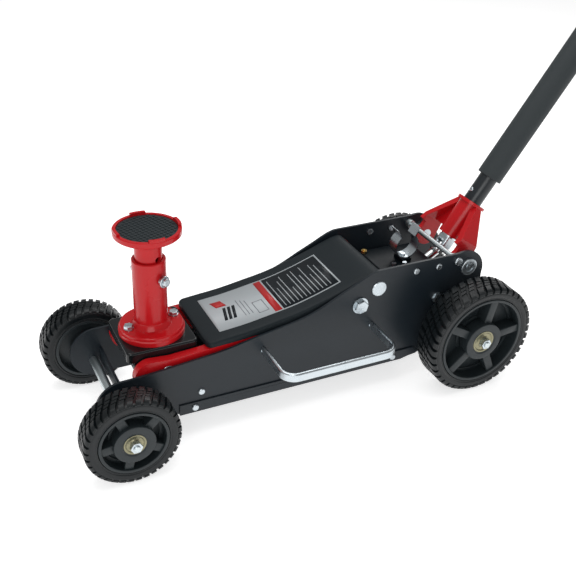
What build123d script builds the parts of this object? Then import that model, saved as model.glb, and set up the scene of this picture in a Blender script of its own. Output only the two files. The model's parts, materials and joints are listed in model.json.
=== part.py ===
from build123d import *
from math import cos, radians, sin
import os

os.makedirs("parts", exist_ok=True)

# Hydraulic floor jack, millimetres. X runs from the front axle to the handle, +Y to the jack's
# right, +Z up from the ground. Places are measured from the front axle and then shifted by
# FRONT_X, so that the frame's origin is on the ground in the middle of the whole object.

# --- wheels and axles ---
WHEELBASE = 705.0
FRONT_WHEEL_R = 86.0
REAR_WHEEL_R = 116.0
FRONT_WHEEL_Y = (125.4, 177.4)   # inner and outer face of a front wheel
REAR_WHEEL_Y = (121.0, 183.0)
FRONT_AXLE_R = 8.5
REAR_AXLE_R = 10.0
RUNNING = 0.05                   # radial clearance of a shaft in its hole

# --- frame ---
PLATE_IN = 87.0                  # inner face of a side plate
PLATE_OUT = 92.0
PLATE_FOOT = 54.0                # lower edge of the side plates
SKID_T = 3.0
SKID_TOP = 73.5

# --- lifting linkage: a parallelogram of arm A-H and links B-K ---
PIVOT_A = (510.0, 230.0)         # lift arm on the frame
PIVOT_H = (94.0, 146.0)          # lift arm on the saddle head
LINK_DROP = (-39.0, -28.0)       # from A to B, and from H to K
PIVOT_B = (PIVOT_A[0] + LINK_DROP[0], PIVOT_A[1] + LINK_DROP[1])
PIVOT_K = (PIVOT_H[0] + LINK_DROP[0], PIVOT_H[1] + LINK_DROP[1])
ARM_SHAFT_R = 15.5
HEAD_PIN_R = 12.0
LINK_SHAFT_R = 8.0
LINK_PIN_R = 6.0
ARM_Y = (66.0, 82.0)             # inner and outer face of an arm plate
LINK_Y = (30.0, 38.0)
CHEEK_Y = (46.0, 60.0)

# --- ram ---
EAR_REACH = 95.0                 # from A to the ram pin
EAR_TILT = 25.0                  # ram pin behind the vertical through A, at rest
RAM_PIN_R = 8.0
RAM_Z = 139.5
RAM_R = 30.0
ROD_R = 14.0

# --- saddle column ---
COLUMN_X = 91.0
FLANGE_R = 60.0
FLANGE_Z = 186.4
SLEEVE_R = 30.15
SLEEVE_TOP = 334.5
TUBE_R = 24.15
LOCK_PIN_Z = 300.0
LOCK_PIN_R = 5.5
LOCK_DIR = Vector(0.44, -0.898, 0).normalized()
CUP_R = 59.5
CUP_Z = 381.0
PAD_R = 52.6
PAD_TOP = 392.5

# --- handle, pump and release valve ---
HINGE = (712.5, 237.2)           # pivot of the handle socket
HANDLE_RISE = 56.1               # degrees above level, at rest
HANDLE_LENGTH = 1170.0           # pivot to the end of the grip
GRIP_R = 22.0
GRIP_ROUND = 3.0
VALVE_RISE = 32.0                # slope of the release valve and of the pump plunger
ROLLER_REACH = 35.0
PUMP_Y = -38.0

handle_cos = cos(radians(HANDLE_RISE))
handle_sin = sin(radians(HANDLE_RISE))
valve_cos = cos(radians(VALVE_RISE))
valve_sin = sin(radians(VALVE_RISE))

# the grip's rounded end is the rearmost point
REAR_END = (HINGE[0] + (HANDLE_LENGTH - GRIP_ROUND) * handle_cos
            + (GRIP_R - GRIP_ROUND) * handle_sin + GRIP_ROUND)
FRONT_X = -(REAR_END - FRONT_WHEEL_R) / 2


def side(y):
    """Plane facing the left (-Y); local x is the distance behind the front axle, local y is Z."""
    return Plane(origin=(FRONT_X, y, 0), x_dir=(1, 0, 0), z_dir=(0, -1, 0))


def level(z):
    """Plane facing up; local x is the distance behind the front axle, local y is Y."""
    return Plane(origin=(FRONT_X, 0, z))


def across_handle(s):
    """Plane square to the handle, s from its pivot; local x is Y, local y is to its front."""
    x = FRONT_X + HINGE[0] + s * handle_cos
    z = HINGE[1] + s * handle_sin
    return Plane(origin=(x, 0, z), x_dir=(0, 1, 0), z_dir=(handle_cos, 0, handle_sin))


def along_handle(front):
    """Plane holding the handle's direction and Y, moved to its front; local y is the handle."""
    x = FRONT_X + HINGE[0] - front * handle_sin
    z = HINGE[1] + front * handle_cos
    return Plane(origin=(x, 0, z), x_dir=(0, 1, 0), z_dir=(handle_sin, 0, -handle_cos))


def beside_handle(y):
    """Plane facing the left that holds the handle; local x is the handle, local y its front."""
    return Plane(
        origin=(FRONT_X + HINGE[0], y, HINGE[1]),
        x_dir=(handle_cos, 0, handle_sin),
        z_dir=(0, -1, 0),
    )


def down_valve(x, y, z):
    """Plane square to the release valve; its normal points down the valve into the pump."""
    return Plane(origin=(FRONT_X + x, y, z), x_dir=(0, 1, 0), z_dir=(-valve_cos, 0, -valve_sin))


# ------------------------------------------------------------------ side plates
TIE_SPOT = (685.5, 254.0)        # rear tie bar
BOLT_SPOT = (647.5, 180.5)       # mounting bolts of the power unit
ANCHOR_BOLT_R = 6.0
HINGE_PIN_R = 10.0
TIE_SCREW_R = 5.0
BLOCK_BOLT_R = 6.0
NOSE = (8.0, 102.5)
NOSE_R = 51.5
TOP_EDGE = [(57, 156), (130, 162.6), (207, 171.5), (265, 183.6), (345, 198.6), (386, 212),
            (426, 232), (467, 252), (490, 263.5)]
PLATE_HOLES = [
    (0, FRONT_WHEEL_R, FRONT_AXLE_R),
    (WHEELBASE, REAR_WHEEL_R, REAR_AXLE_R),
    (PIVOT_A[0], PIVOT_A[1], ARM_SHAFT_R),
    (PIVOT_B[0], PIVOT_B[1], ANCHOR_BOLT_R),
    (HINGE[0], HINGE[1], HINGE_PIN_R),
    (TIE_SPOT[0], TIE_SPOT[1], TIE_SCREW_R),
    (BOLT_SPOT[0], BOLT_SPOT[1], BLOCK_BOLT_R),
]
SCREW_SPOTS = [(151.0, 92.7), (590.7, 250.6), (641.8, 250.3)]
SKID_SCREWS = [(137.6, 62.5), (556.0, 62.5)]
SCREW_R = 4.0
HANDLE_LEGS = [(273.0, 150.0), (501.0, 150.0)]
LEG_STUD_R = 5.0
HANDLE_HOLES = [(x, z, LEG_STUD_R) for x, z in HANDLE_LEGS]

for name, y_from, holes in (
    ("side_plate_left", -PLATE_IN, HANDLE_HOLES + PLATE_HOLES),
    ("side_plate_right", PLATE_OUT, PLATE_HOLES),
):
    with BuildPart() as plate:
        with BuildSketch(side(y_from)):
            with BuildLine():
                nose = ThreePointArc((1, 51), (NOSE[0] - NOSE_R, NOSE[1]), (1, 153.5))
                top = Spline([nose @ 1, *TOP_EDGE, (508, 269)])
                flat = Line(top @ 1, (689, 269.6))
                tail = ThreePointArc(flat @ 1, (735, 258.5), (748, 215))
                rear = Line(tail @ 1, (752, 130))
                heel = ThreePointArc(rear @ 1, (738, 82), (705, 66))
                Polyline(heel @ 1, (640, 60), (597, PLATE_FOOT), (30, PLATE_FOOT), nose @ 0)
            make_face()
            for x, z, r in holes:
                with Locations((x, z)):
                    Circle(r, mode=Mode.SUBTRACT)
            with Locations(*SCREW_SPOTS, *SKID_SCREWS):
                Circle(SCREW_R, mode=Mode.SUBTRACT)
        extrude(amount=PLATE_OUT - PLATE_IN)
    plate.part.label = name
    export_step(plate.part, f"parts/{name}.step")

# ------------------------------------------------------------------ skid plate
SKID_START = 108.0
SKID_END = 612.0
with BuildPart() as skid_plate:
    with BuildSketch(side(PLATE_OUT + SKID_T)):
        with BuildLine():
            Polyline(
                (SKID_START, PLATE_FOOT - SKID_T), (577, PLATE_FOOT - SKID_T), (595, 55),
                (SKID_END, 57), (SKID_END + 3, 63), (SKID_END - 8, SKID_TOP),
                (SKID_START, SKID_TOP), close=True,
            )
        make_face()
    extrude(amount=2 * (PLATE_OUT + SKID_T))
    with BuildSketch(side(PLATE_OUT)):
        with Locations(((SKID_START + SKID_END) / 2, PLATE_FOOT + 50)):
            Rectangle(SKID_END - SKID_START + 20, 100)
    extrude(amount=2 * PLATE_OUT, mode=Mode.SUBTRACT)
    with BuildSketch(level(0)):
        with Locations((250, 0), (350, 0), (450, 0)):
            SlotOverall(70, 24, rotation=90)
    extrude(amount=2 * PLATE_FOOT, mode=Mode.SUBTRACT)
    with BuildSketch(side(PLATE_OUT + 2 * SKID_T)):
        with Locations(*SKID_SCREWS):
            Circle(SCREW_R)
    extrude(amount=2 * PLATE_OUT + 4 * SKID_T, mode=Mode.SUBTRACT)
skid_plate.part.label = "skid_plate"
export_step(skid_plate.part, "parts/skid_plate.step")

# ------------------------------------------------------------------ small screws and nuts
SCREW_HEAD_R = 6.5
SCREW_HEAD_H = 3.5
NUT_T = 3.0
SCREW_NUT_R = 7.0                # across the corners
LEG_NUT_R = 9.0
TIE_HEAD_R = 8.5
TIE_HEAD_H = 6.0
with BuildPart() as frame_screws:
    for spots, seat in ((SCREW_SPOTS, PLATE_OUT), (SKID_SCREWS, PLATE_OUT + SKID_T)):
        with BuildSketch(side(-seat)):
            with Locations(*spots):
                Circle(SCREW_HEAD_R)
        extrude(amount=SCREW_HEAD_H)
        fillet(frame_screws.faces().sort_by(Axis.Y)[: len(spots)].edges(), 2.5)
        with BuildSketch(side(-PLATE_IN + NUT_T)):
            with Locations(*spots):
                Circle(SCREW_R)
        extrude(amount=seat - PLATE_IN + NUT_T)
    # screws of the rear tie bar
    with BuildSketch(side(-PLATE_OUT)):
        with Locations(TIE_SPOT):
            Circle(TIE_HEAD_R)
    extrude(amount=TIE_HEAD_H)
    head_y = -PLATE_OUT - TIE_HEAD_H
    domes = frame_screws.faces().filter_by(lambda face: abs(face.center().Y - head_y) < 0.1)
    fillet(domes.edges(), 3)
    with BuildSketch(side(-PLATE_IN)):
        with Locations(TIE_SPOT):
            Circle(TIE_SCREW_R)
    extrude(amount=PLATE_OUT - PLATE_IN)
    mirror(about=Plane.XZ)
frame_screws.part.label = "frame_screws"
export_step(frame_screws.part, "parts/frame_screws.step")

with BuildPart() as frame_nuts:
    with BuildSketch(side(-PLATE_IN + NUT_T)):
        with Locations(*SCREW_SPOTS, *SKID_SCREWS):
            RegularPolygon(SCREW_NUT_R, 6)
            Circle(SCREW_R, mode=Mode.SUBTRACT)
    extrude(amount=NUT_T)
    mirror(about=Plane.XZ)
    # the carrying handle is on the left plate only
    with BuildSketch(side(-PLATE_IN + NUT_T)):
        with Locations(*HANDLE_LEGS):
            RegularPolygon(LEG_NUT_R, 6)
            Circle(LEG_STUD_R, mode=Mode.SUBTRACT)
    extrude(amount=NUT_T)
frame_nuts.part.label = "frame_nuts"
export_step(frame_nuts.part, "parts/frame_nuts.step")

# ------------------------------------------------------------------ bars between the plates
with BuildPart() as front_tie_bar:
    with BuildSketch(side(PLATE_IN)):
        with Locations((14.75, 98)):
            Rectangle(5.5, 28)
    extrude(amount=2 * PLATE_IN)
    fillet(front_tie_bar.edges().filter_by(Axis.Y), 0.8)
front_tie_bar.part.label = "front_tie_bar"
export_step(front_tie_bar.part, "parts/front_tie_bar.step")

TIE_R = 5.25
with BuildPart() as rear_tie_bar:
    with BuildSketch(side(PLATE_IN)):
        with Locations(TIE_SPOT):
            Circle(TIE_R)
    extrude(amount=2 * PLATE_IN)
    for boss_start in (PLATE_IN, 12 - PLATE_IN):
        with BuildSketch(side(boss_start)):
            with Locations(TIE_SPOT):
                Circle(9)
        extrude(amount=12)
rear_tie_bar.part.label = "rear_tie_bar"
export_step(rear_tie_bar.part, "parts/rear_tie_bar.step")

# ------------------------------------------------------------------ axles, spacers and nuts
AXLES = {
    "front_axle": ((0, FRONT_WHEEL_R), FRONT_AXLE_R, FRONT_WHEEL_Y),
    "rear_axle": ((WHEELBASE, REAR_WHEEL_R), REAR_AXLE_R, REAR_WHEEL_Y),
}
THREAD_R = 6.0
NUT_GAP = 3.0                    # wheel's outer face to the seat of its nut
NUT_H = 9.0
for name, (spot, radius, faces) in AXLES.items():
    with BuildPart() as axle:
        with BuildSketch(side(faces[1] + NUT_GAP)):
            with Locations(spot):
                Circle(radius)
        extrude(amount=2 * (faces[1] + NUT_GAP))
        with BuildSketch(side(faces[1] + NUT_GAP + NUT_H + 3)):
            with Locations(spot):
                Circle(THREAD_R)
        extrude(amount=2 * (faces[1] + NUT_GAP + NUT_H + 3))
        chamfer(axle.edges().group_by(Axis.Y)[0] + axle.edges().group_by(Axis.Y)[-1], 1)
    axle.part.label = name
    export_step(axle.part, f"parts/{name}.step")

with BuildPart() as axle_spacers:
    for spot, radius, faces in AXLES.values():
        with BuildSketch(side(-PLATE_OUT)):
            with Locations(spot):
                Circle(radius + 5)
                Circle(radius, mode=Mode.SUBTRACT)
        extrude(amount=faces[0] - PLATE_OUT - 0.8)
    mirror(about=Plane.XZ)
axle_spacers.part.label = "axle_spacers"
export_step(axle_spacers.part, "parts/axle_spacers.step")

with BuildPart() as axle_nuts:
    for spot, radius, faces in AXLES.values():
        with BuildSketch(side(-faces[1] - NUT_GAP)):
            with Locations(spot):
                RegularPolygon(9.5, 6, major_radius=False)
                Circle(THREAD_R, mode=Mode.SUBTRACT)
        extrude(amount=NUT_H)
    mirror(about=Plane.XZ)
axle_nuts.part.label = "axle_nuts"
export_step(axle_nuts.part, "parts/axle_nuts.step")

# ------------------------------------------------------------------ wheels
# name, axle place, tread radius, rim opening radius, hub disc radius, bearing radius and
# width, shaft radius, faces, spoke width, angle of one spoke
SPOKES = 5
HUB_PROUD = 2.5
RIM_WALL = 6.0
WHEELS = []
for end, place, tread, opening, hub, bearing, shaft, faces, turn in (
    ("front", (0, FRONT_WHEEL_R), FRONT_WHEEL_R, 56.3, 36.9, (20.0, 12.0), FRONT_AXLE_R,
     FRONT_WHEEL_Y, -102),
    ("rear", (WHEELBASE, REAR_WHEEL_R), REAR_WHEEL_R, 85.9, 39.7, (23.5, 14.0), REAR_AXLE_R,
     REAR_WHEEL_Y, 78),
):
    for hand, sign in (("left", -1), ("right", 1)):
        WHEELS.append((f"{end}_{hand}", sign, place, tread, opening, hub, bearing, shaft, faces,
                       turn))

for name, sign, place, tread, opening, hub, bearing, shaft, faces, turn in WHEELS:
    width = faces[1] - faces[0]
    # planes with their origin on the axle at the wheel's inner face: one square to the axle
    # with its normal outwards, one through the axle for turned profiles
    centre = (FRONT_X + place[0], sign * faces[0], place[1])
    wheel_plane = Plane(origin=centre, x_dir=(1, 0, 0), z_dir=(0, sign, 0))
    profile_plane = Plane(origin=centre, x_dir=(1, 0, 0), z_dir=(0, 0, sign))
    axle_line = Axis(centre, (0, sign, 0))
    rim_r = opening + RIM_WALL
    spin = -sign * turn
    with BuildPart() as tyre:
        with BuildSketch(profile_plane):
            with BuildLine():
                Polyline(
                    (rim_r, 3), (rim_r + 5, 0.6), (tread - 7, 0), (tread, 8), (tread, width - 8),
                    (tread - 7, width), (rim_r + 5, width - 0.6), (rim_r, width - 3), close=True,
                )
            make_face()
        revolve(axis=axle_line)
    tyre.part.label = f"tyre_{name}"
    export_step(tyre.part, f"parts/tyre_{name}.step")

    with BuildPart() as rim:
        with BuildSketch(profile_plane):
            with BuildLine():
                Polyline(
                    (opening, 2), (rim_r, 2), (rim_r, width - 1), (opening, width - 1),
                    close=True,
                )
            make_face()
            # web ring in the middle of the wheel
            with Locations(((opening + hub) / 2, width * 0.45)):
                Rectangle(opening - hub + 8, 5)
            # hub: bore for the bearings at both ends, clearance for the shaft between them
            with BuildLine():
                Polyline(
                    (bearing[0], 0), (hub - 8, 0), (hub - 8, width * 0.45), (hub, width - 20),
                    (hub, width + HUB_PROUD), (bearing[0], width + HUB_PROUD),
                    (bearing[0], width + HUB_PROUD - bearing[1] - 1),
                    (shaft + 3, width + HUB_PROUD - bearing[1] - 1),
                    (shaft + 3, bearing[1]), (bearing[0], bearing[1]), close=True,
                )
            make_face()
        revolve(axis=axle_line)
        with BuildSketch(wheel_plane.offset(width * 0.45)):
            with PolarLocations((opening + hub) / 2, SPOKES, start_angle=spin):
                Rectangle(opening - hub + 8, 15)
        extrude(amount=width * 0.55 - 5)
    rim.part.label = f"rim_{name}"
    export_step(rim.part, f"parts/rim_{name}.step")

    with BuildPart() as bearings:
        with BuildSketch(profile_plane):
            for low in (0, width + HUB_PROUD - bearing[1] - 1):
                with BuildLine():
                    Polyline(
                        (shaft + RUNNING, low), (bearing[0], low), (bearing[0], low + bearing[1]),
                        (bearing[0] - 3, low + bearing[1]), (bearing[0] - 5, low + bearing[1] - 2),
                        (shaft + 3, low + bearing[1] - 2), (shaft + RUNNING, low + bearing[1]),
                        close=True,
                    )
                make_face()
        revolve(axis=axle_line)
    bearings.part.label = f"bearing_{name}"
    export_step(bearings.part, f"parts/bearing_{name}.step")

# ------------------------------------------------------------------ carrying handle
BAR_Y = 190.0
BAR_T = 8.0
BAR_H = 18.0
BEND_R = 25.0
front_leg, rear_leg = HANDLE_LEGS
with BuildPart() as carry_handle_left:
    with BuildLine(level(front_leg[1])) as path:
        FilletPolyline(
            (front_leg[0], -PLATE_OUT), (front_leg[0], -BAR_Y), (rear_leg[0], -BAR_Y),
            (rear_leg[0], -PLATE_OUT), radius=BEND_R,
        )
    with BuildSketch(Plane(origin=path.line @ 0, x_dir=(0, 0, 1), z_dir=path.line % 0)):
        RectangleRounded(BAR_H, BAR_T, BAR_T / 2 - 0.2)
    sweep(path=path.line)
    with BuildSketch(side(NUT_T - PLATE_IN)):
        with Locations(*HANDLE_LEGS):
            Circle(LEG_STUD_R)
    extrude(amount=PLATE_OUT - PLATE_IN + NUT_T)
carry_handle_left.part.label = "carry_handle_left"
export_step(carry_handle_left.part, "parts/carry_handle_left.step")

# ------------------------------------------------------------------ linkage shafts
SHAFT_PROUD = 2.5                # ends of the arm's shaft beyond the plates
ANCHOR_THREAD = 15.0             # depth of a bolt's thread in the anchor shaft
ANCHOR_BOLT_END = 12.0
ANCHOR_WASHER_R = 16.5
ANCHOR_WASHER_T = 2.5
ANCHOR_HEAD_R = 12.0             # across the flats
ANCHOR_HEAD_H = 8.0
with BuildPart() as arm_pivot_shaft:
    with BuildSketch(side(PLATE_OUT + SHAFT_PROUD)):
        with Locations(PIVOT_A):
            Circle(ARM_SHAFT_R)
    extrude(amount=2 * (PLATE_OUT + SHAFT_PROUD))
    chamfer(arm_pivot_shaft.edges().filter_by(GeomType.CIRCLE), 1.2)
arm_pivot_shaft.part.label = "arm_pivot_shaft"
export_step(arm_pivot_shaft.part, "parts/arm_pivot_shaft.step")

with BuildPart() as link_anchor_shaft:
    with BuildSketch(side(PLATE_IN)):
        with Locations(PIVOT_B):
            Circle(LINK_SHAFT_R)
    extrude(amount=2 * PLATE_IN)
    with BuildSketch(side(PLATE_IN)):
        with Locations(PIVOT_B):
            Circle(ANCHOR_BOLT_R)
    extrude(amount=ANCHOR_THREAD, mode=Mode.SUBTRACT)
    with BuildSketch(side(ANCHOR_THREAD - PLATE_IN)):
        with Locations(PIVOT_B):
            Circle(ANCHOR_BOLT_R)
    extrude(amount=ANCHOR_THREAD, mode=Mode.SUBTRACT)
link_anchor_shaft.part.label = "link_anchor_shaft"
export_step(link_anchor_shaft.part, "parts/link_anchor_shaft.step")

with BuildPart() as link_anchor_bolts:
    with BuildSketch(side(-PLATE_OUT)):
        with Locations(PIVOT_B):
            Circle(ANCHOR_WASHER_R)
    extrude(amount=ANCHOR_WASHER_T)
    with BuildSketch(side(-PLATE_OUT - ANCHOR_WASHER_T)):
        with Locations(PIVOT_B):
            RegularPolygon(ANCHOR_HEAD_R, 6, major_radius=False, rotation=15)
    extrude(amount=ANCHOR_HEAD_H)
    chamfer(link_anchor_bolts.faces().sort_by(Axis.Y)[0].edges(), 1)
    with BuildSketch(side(ANCHOR_BOLT_END - PLATE_IN)):
        with Locations(PIVOT_B):
            Circle(ANCHOR_BOLT_R)
    extrude(amount=ANCHOR_BOLT_END + PLATE_OUT - PLATE_IN)
    mirror(about=Plane.XZ)
link_anchor_bolts.part.label = "link_anchor_bolts"
export_step(link_anchor_bolts.part, "parts/link_anchor_bolts.step")

EYE_OUT = 66.0                   # outer face of a handle socket eye
EYE_IN = 56.0
PIN_HEAD_R = 17.5
PIN_HEAD_H = 6.0
PIN_RECESS_R = 7.0
PIN_RECESS = 2.0
PIN_COLLAR_R = 15.0
COLLAR_GAP = 1.0                 # eye's outer face to the pin's collar
with BuildPart() as handle_pivot_pins:
    with BuildSketch(side(-PLATE_OUT)):
        with Locations(HINGE):
            Circle(PIN_HEAD_R)
    extrude(amount=PIN_HEAD_H)
    fillet(handle_pivot_pins.faces().sort_by(Axis.Y)[0].edges(), 2)
    # ring groove round the end of the pin
    with BuildSketch(side(-PLATE_OUT - PIN_HEAD_H)):
        with Locations(HINGE):
            Circle(HINGE_PIN_R)
            Circle(PIN_RECESS_R, mode=Mode.SUBTRACT)
    extrude(amount=-PIN_RECESS, mode=Mode.SUBTRACT)
    with BuildSketch(side(-EYE_IN)):
        with Locations(HINGE):
            Circle(HINGE_PIN_R)
    extrude(amount=PLATE_OUT - EYE_IN)
    with BuildSketch(side(-EYE_OUT - COLLAR_GAP)):
        with Locations(HINGE):
            Circle(PIN_COLLAR_R)
    extrude(amount=PLATE_IN - EYE_OUT - COLLAR_GAP)
    mirror(about=Plane.XZ)
handle_pivot_pins.part.label = "handle_pivot_pins"
export_step(handle_pivot_pins.part, "parts/handle_pivot_pins.step")

# ------------------------------------------------------------------ power unit
BLOCK_Y = 52.0
BLOCK_FRONT = 600.0
BLOCK_REAR = 690.0
TANK_Z = (178.0, 226.0)
TANK_REAR = 631.0
TANK_Y = 60.0
VALVE_DEPTH = 42.0               # pivot to the slanted face of the block
VALVE_R = 9.5
PLUNGER_R = 8.0

face_x = HINGE[0] - VALVE_DEPTH * valve_cos
face_z = HINGE[1] - VALVE_DEPTH * valve_sin
low_face_z = face_z - (BLOCK_REAR - face_x) * valve_cos / valve_sin
high_face_x = face_x - (TANK_Z[1] - face_z) * valve_sin / valve_cos

# the roller stands square to the valve's slope below the pivot, the plunger in front of it
roller_x = HINGE[0] + ROLLER_REACH * valve_sin
roller_z = HINGE[1] - ROLLER_REACH * valve_cos
ROLLER_R = 9.0
PLUNGER_GAP = 1.0
head_x = roller_x - (ROLLER_R + PLUNGER_GAP) * valve_cos
head_z = roller_z - (ROLLER_R + PLUNGER_GAP) * valve_sin
RAM_SEAT = 26.0                  # how far the ram cylinder enters the block
BOSS_AT = 38.0                   # plunger's head face to its guide boss
BORE_END = 93.0

with BuildPart() as pump_block:
    with BuildSketch(side(BLOCK_Y)):
        with BuildLine():
            Polyline(
                (BLOCK_FRONT, 102), (BLOCK_REAR, 102), (BLOCK_REAR, low_face_z),
                (high_face_x, TANK_Z[1]), (TANK_REAR, TANK_Z[1]), (TANK_REAR, TANK_Z[0]),
                (BLOCK_FRONT, TANK_Z[0]), close=True,
            )
        make_face()
    extrude(amount=2 * BLOCK_Y)
    with BuildSketch(down_valve(head_x, PUMP_Y, head_z).offset(BOSS_AT)):
        Circle(14)
    extrude(amount=40)
    with BuildSketch(side(PLATE_IN)):
        with Locations(BOLT_SPOT):
            Circle(16)
    extrude(amount=2 * PLATE_IN)
    # bores: ram, plunger, release valve and the two mounting bolts
    ram_seat = Plane(origin=(FRONT_X + BLOCK_FRONT, 0, RAM_Z), z_dir=(1, 0, 0))
    for radius, depth in ((RAM_R, RAM_SEAT), (ROD_R + RUNNING, 80)):
        with BuildSketch(ram_seat):
            Circle(radius)
        extrude(amount=depth, mode=Mode.SUBTRACT)
    with BuildSketch(down_valve(head_x, PUMP_Y, head_z)):
        Circle(PLUNGER_R + RUNNING)
    extrude(amount=BORE_END, mode=Mode.SUBTRACT)
    with BuildSketch(down_valve(HINGE[0], 0, HINGE[1]).offset(VALVE_DEPTH - 5)):
        Circle(VALVE_R + RUNNING)
    extrude(amount=30, mode=Mode.SUBTRACT)
    for start in (PLATE_IN, 20 - PLATE_IN):
        with BuildSketch(side(start)):
            with Locations(BOLT_SPOT):
                Circle(6)
        extrude(amount=20, mode=Mode.SUBTRACT)
pump_block.part.label = "pump_block"
export_step(pump_block.part, "parts/pump_block.step")

RAM_MOUTH = 568.0
with BuildPart() as ram_cylinder:
    with BuildSketch(Plane(origin=(FRONT_X + RAM_MOUTH, 0, RAM_Z), z_dir=(1, 0, 0))):
        Circle(RAM_R)
        Circle(ROD_R + RUNNING, mode=Mode.SUBTRACT)
    extrude(amount=BLOCK_FRONT + RAM_SEAT - RAM_MOUTH)
    chamfer(ram_cylinder.edges().group_by(Axis.X)[0], 2)
ram_cylinder.part.label = "ram_cylinder"
export_step(ram_cylinder.part, "parts/ram_cylinder.step")

TANK_FRONT = 551.0
TANK_WALL = 5.0
CLIP_SPOT = (619.0, 260.0)       # centre of the storage clip's ring
CLIP_R = 24.5
PLUG_SPOT = (558.0, 50.0)
with BuildPart() as oil_tank:
    with BuildSketch(level(TANK_Z[0])):
        with Locations(((TANK_FRONT + TANK_REAR) / 2, 0)):
            Rectangle(TANK_REAR - TANK_FRONT, 2 * TANK_Y)
    extrude(amount=TANK_Z[1] - TANK_Z[0])
    fillet(oil_tank.edges().filter_by(Axis.Z).group_by(Axis.X)[0], 8)
    fillet(oil_tank.faces().sort_by(Axis.Z)[-1].edges().sort_by(Axis.X)[:3], 4)
    with BuildSketch(level(TANK_Z[0] + TANK_WALL)):
        with Locations(((TANK_FRONT + TANK_REAR) / 2 + TANK_WALL, 0)):
            Rectangle(TANK_REAR - TANK_FRONT, 2 * (TANK_Y - TANK_WALL))
    extrude(amount=TANK_Z[1] - TANK_Z[0] - 2 * TANK_WALL, mode=Mode.SUBTRACT)
    with BuildSketch(level(TANK_Z[1])):
        with Locations((CLIP_SPOT[0], 0)):
            Rectangle(22, 30)
    extrude(amount=6)
    with BuildSketch(level(TANK_Z[1] - 10)):
        with Locations(PLUG_SPOT):
            Circle(5)
        with Locations((CLIP_SPOT[0], 0)):
            Circle(2.5)
    extrude(amount=20, mode=Mode.SUBTRACT)
oil_tank.part.label = "oil_tank"
export_step(oil_tank.part, "parts/oil_tank.step")

with BuildPart() as filler_plug:
    with BuildSketch(level(TANK_Z[1] - TANK_WALL)):
        with Locations(PLUG_SPOT):
            Circle(5)
    extrude(amount=TANK_WALL)
    with BuildSketch(level(TANK_Z[1])):
        with Locations(PLUG_SPOT):
            RegularPolygon(6.5, 6)
    extrude(amount=5)
    with BuildSketch(level(TANK_Z[1] + 5)):
        with Locations(PLUG_SPOT):
            Circle(3.5)
    extrude(amount=2)
filler_plug.part.label = "filler_plug"
export_step(filler_plug.part, "parts/filler_plug.step")

TANK_BOLTS = [(588.0, -18.0), (610.0, -22.0)]
with BuildPart() as power_unit_bolts:
    with BuildSketch(side(-PLATE_OUT)):
        with Locations(BOLT_SPOT):
            Circle(12)
    extrude(amount=2)
    with BuildSketch(side(-PLATE_OUT - 2)):
        with Locations(BOLT_SPOT):
            RegularPolygon(9.5, 6, major_radius=False)
    extrude(amount=7)
    with BuildSketch(side(18 - PLATE_IN)):
        with Locations(BOLT_SPOT):
            Circle(6)
    extrude(amount=18 + PLATE_OUT - PLATE_IN)
    mirror(about=Plane.XZ)
    with BuildSketch(level(TANK_Z[1])):
        with Locations(*TANK_BOLTS):
            RegularPolygon(5, 6)
    extrude(amount=5)
    # screw that holds the storage clip
    with BuildSketch(level(TANK_Z[1] - TANK_WALL)):
        with Locations((CLIP_SPOT[0], 0)):
            Circle(2.5)
    extrude(amount=CLIP_SPOT[1] - CLIP_R - TANK_Z[1] + TANK_WALL)
    with BuildSketch(level(CLIP_SPOT[1] - CLIP_R)):
        with Locations((CLIP_SPOT[0], 0)):
            Circle(5)
    extrude(amount=2.5)
power_unit_bolts.part.label = "power_unit_bolts"
export_step(power_unit_bolts.part, "parts/power_unit_bolts.step")

# ------------------------------------------------------------------ storage clip
CLIP_T = 1.6
CLIP_W = 26.0
CLIP_MOUTH = 38.0                # half of the open angle at the top
lip_angle = radians(CLIP_MOUTH)
with BuildPart() as storage_clip:
    with BuildSketch(side(CLIP_W / 2)):
        with Locations(CLIP_SPOT):
            Circle(CLIP_R + CLIP_T)
            Circle(CLIP_R, mode=Mode.SUBTRACT)
        with BuildLine():
            reach = 60 * sin(lip_angle) / cos(lip_angle)
            Polyline(
                CLIP_SPOT, (CLIP_SPOT[0] + reach, CLIP_SPOT[1] + 60),
                (CLIP_SPOT[0] - reach, CLIP_SPOT[1] + 60), close=True,
            )
        make_face(mode=Mode.SUBTRACT)
        for way in (-1, 1):
            lip_x = CLIP_SPOT[0] + way * (CLIP_R + CLIP_T / 2) * sin(lip_angle)
            lip_z = CLIP_SPOT[1] + (CLIP_R + CLIP_T / 2) * cos(lip_angle)
            with BuildLine():
                flare = Line((lip_x - way * 0.3, lip_z - 0.5), (lip_x + way * 9, lip_z + 17))
                offset(flare, amount=CLIP_T / 2)
            make_face()
        with Locations((CLIP_SPOT[0], CLIP_SPOT[1] - CLIP_R - CLIP_T / 2 - 1)):
            Rectangle(20, 3.4)
    extrude(amount=CLIP_W)
    with BuildSketch(level(CLIP_SPOT[1] - CLIP_R - 6)):
        with Locations((CLIP_SPOT[0], 0)):
            Circle(2.5)
    extrude(amount=12, mode=Mode.SUBTRACT)
storage_clip.part.label = "storage_clip"
export_step(storage_clip.part, "parts/storage_clip.step")

# ------------------------------------------------------------------ lift arm
ARM_NOSE = (62.0, 143.0)
ARM_NOSE_R = 30.0
ARM_HUB_R = 26.0
ARM_TUBE_R = 24.0
EAR_Y = (12.0, 24.0)
EAR_R = 14.0
WEB_T = 4.0
ear_x = PIVOT_A[0] + EAR_REACH * sin(radians(EAR_TILT))
ear_z = PIVOT_A[1] - EAR_REACH * cos(radians(EAR_TILT))
ARM_TOP = [(99, 170), (175, 174.5), (253, 180), (300, 190), (350, 200), (400, 214), (446, 230),
           (480, 243)]
ARM_FOOT = [(455, 211), (430, 196), (400, 180), (330, 150), (250, 132), (150, 120)]

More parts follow.
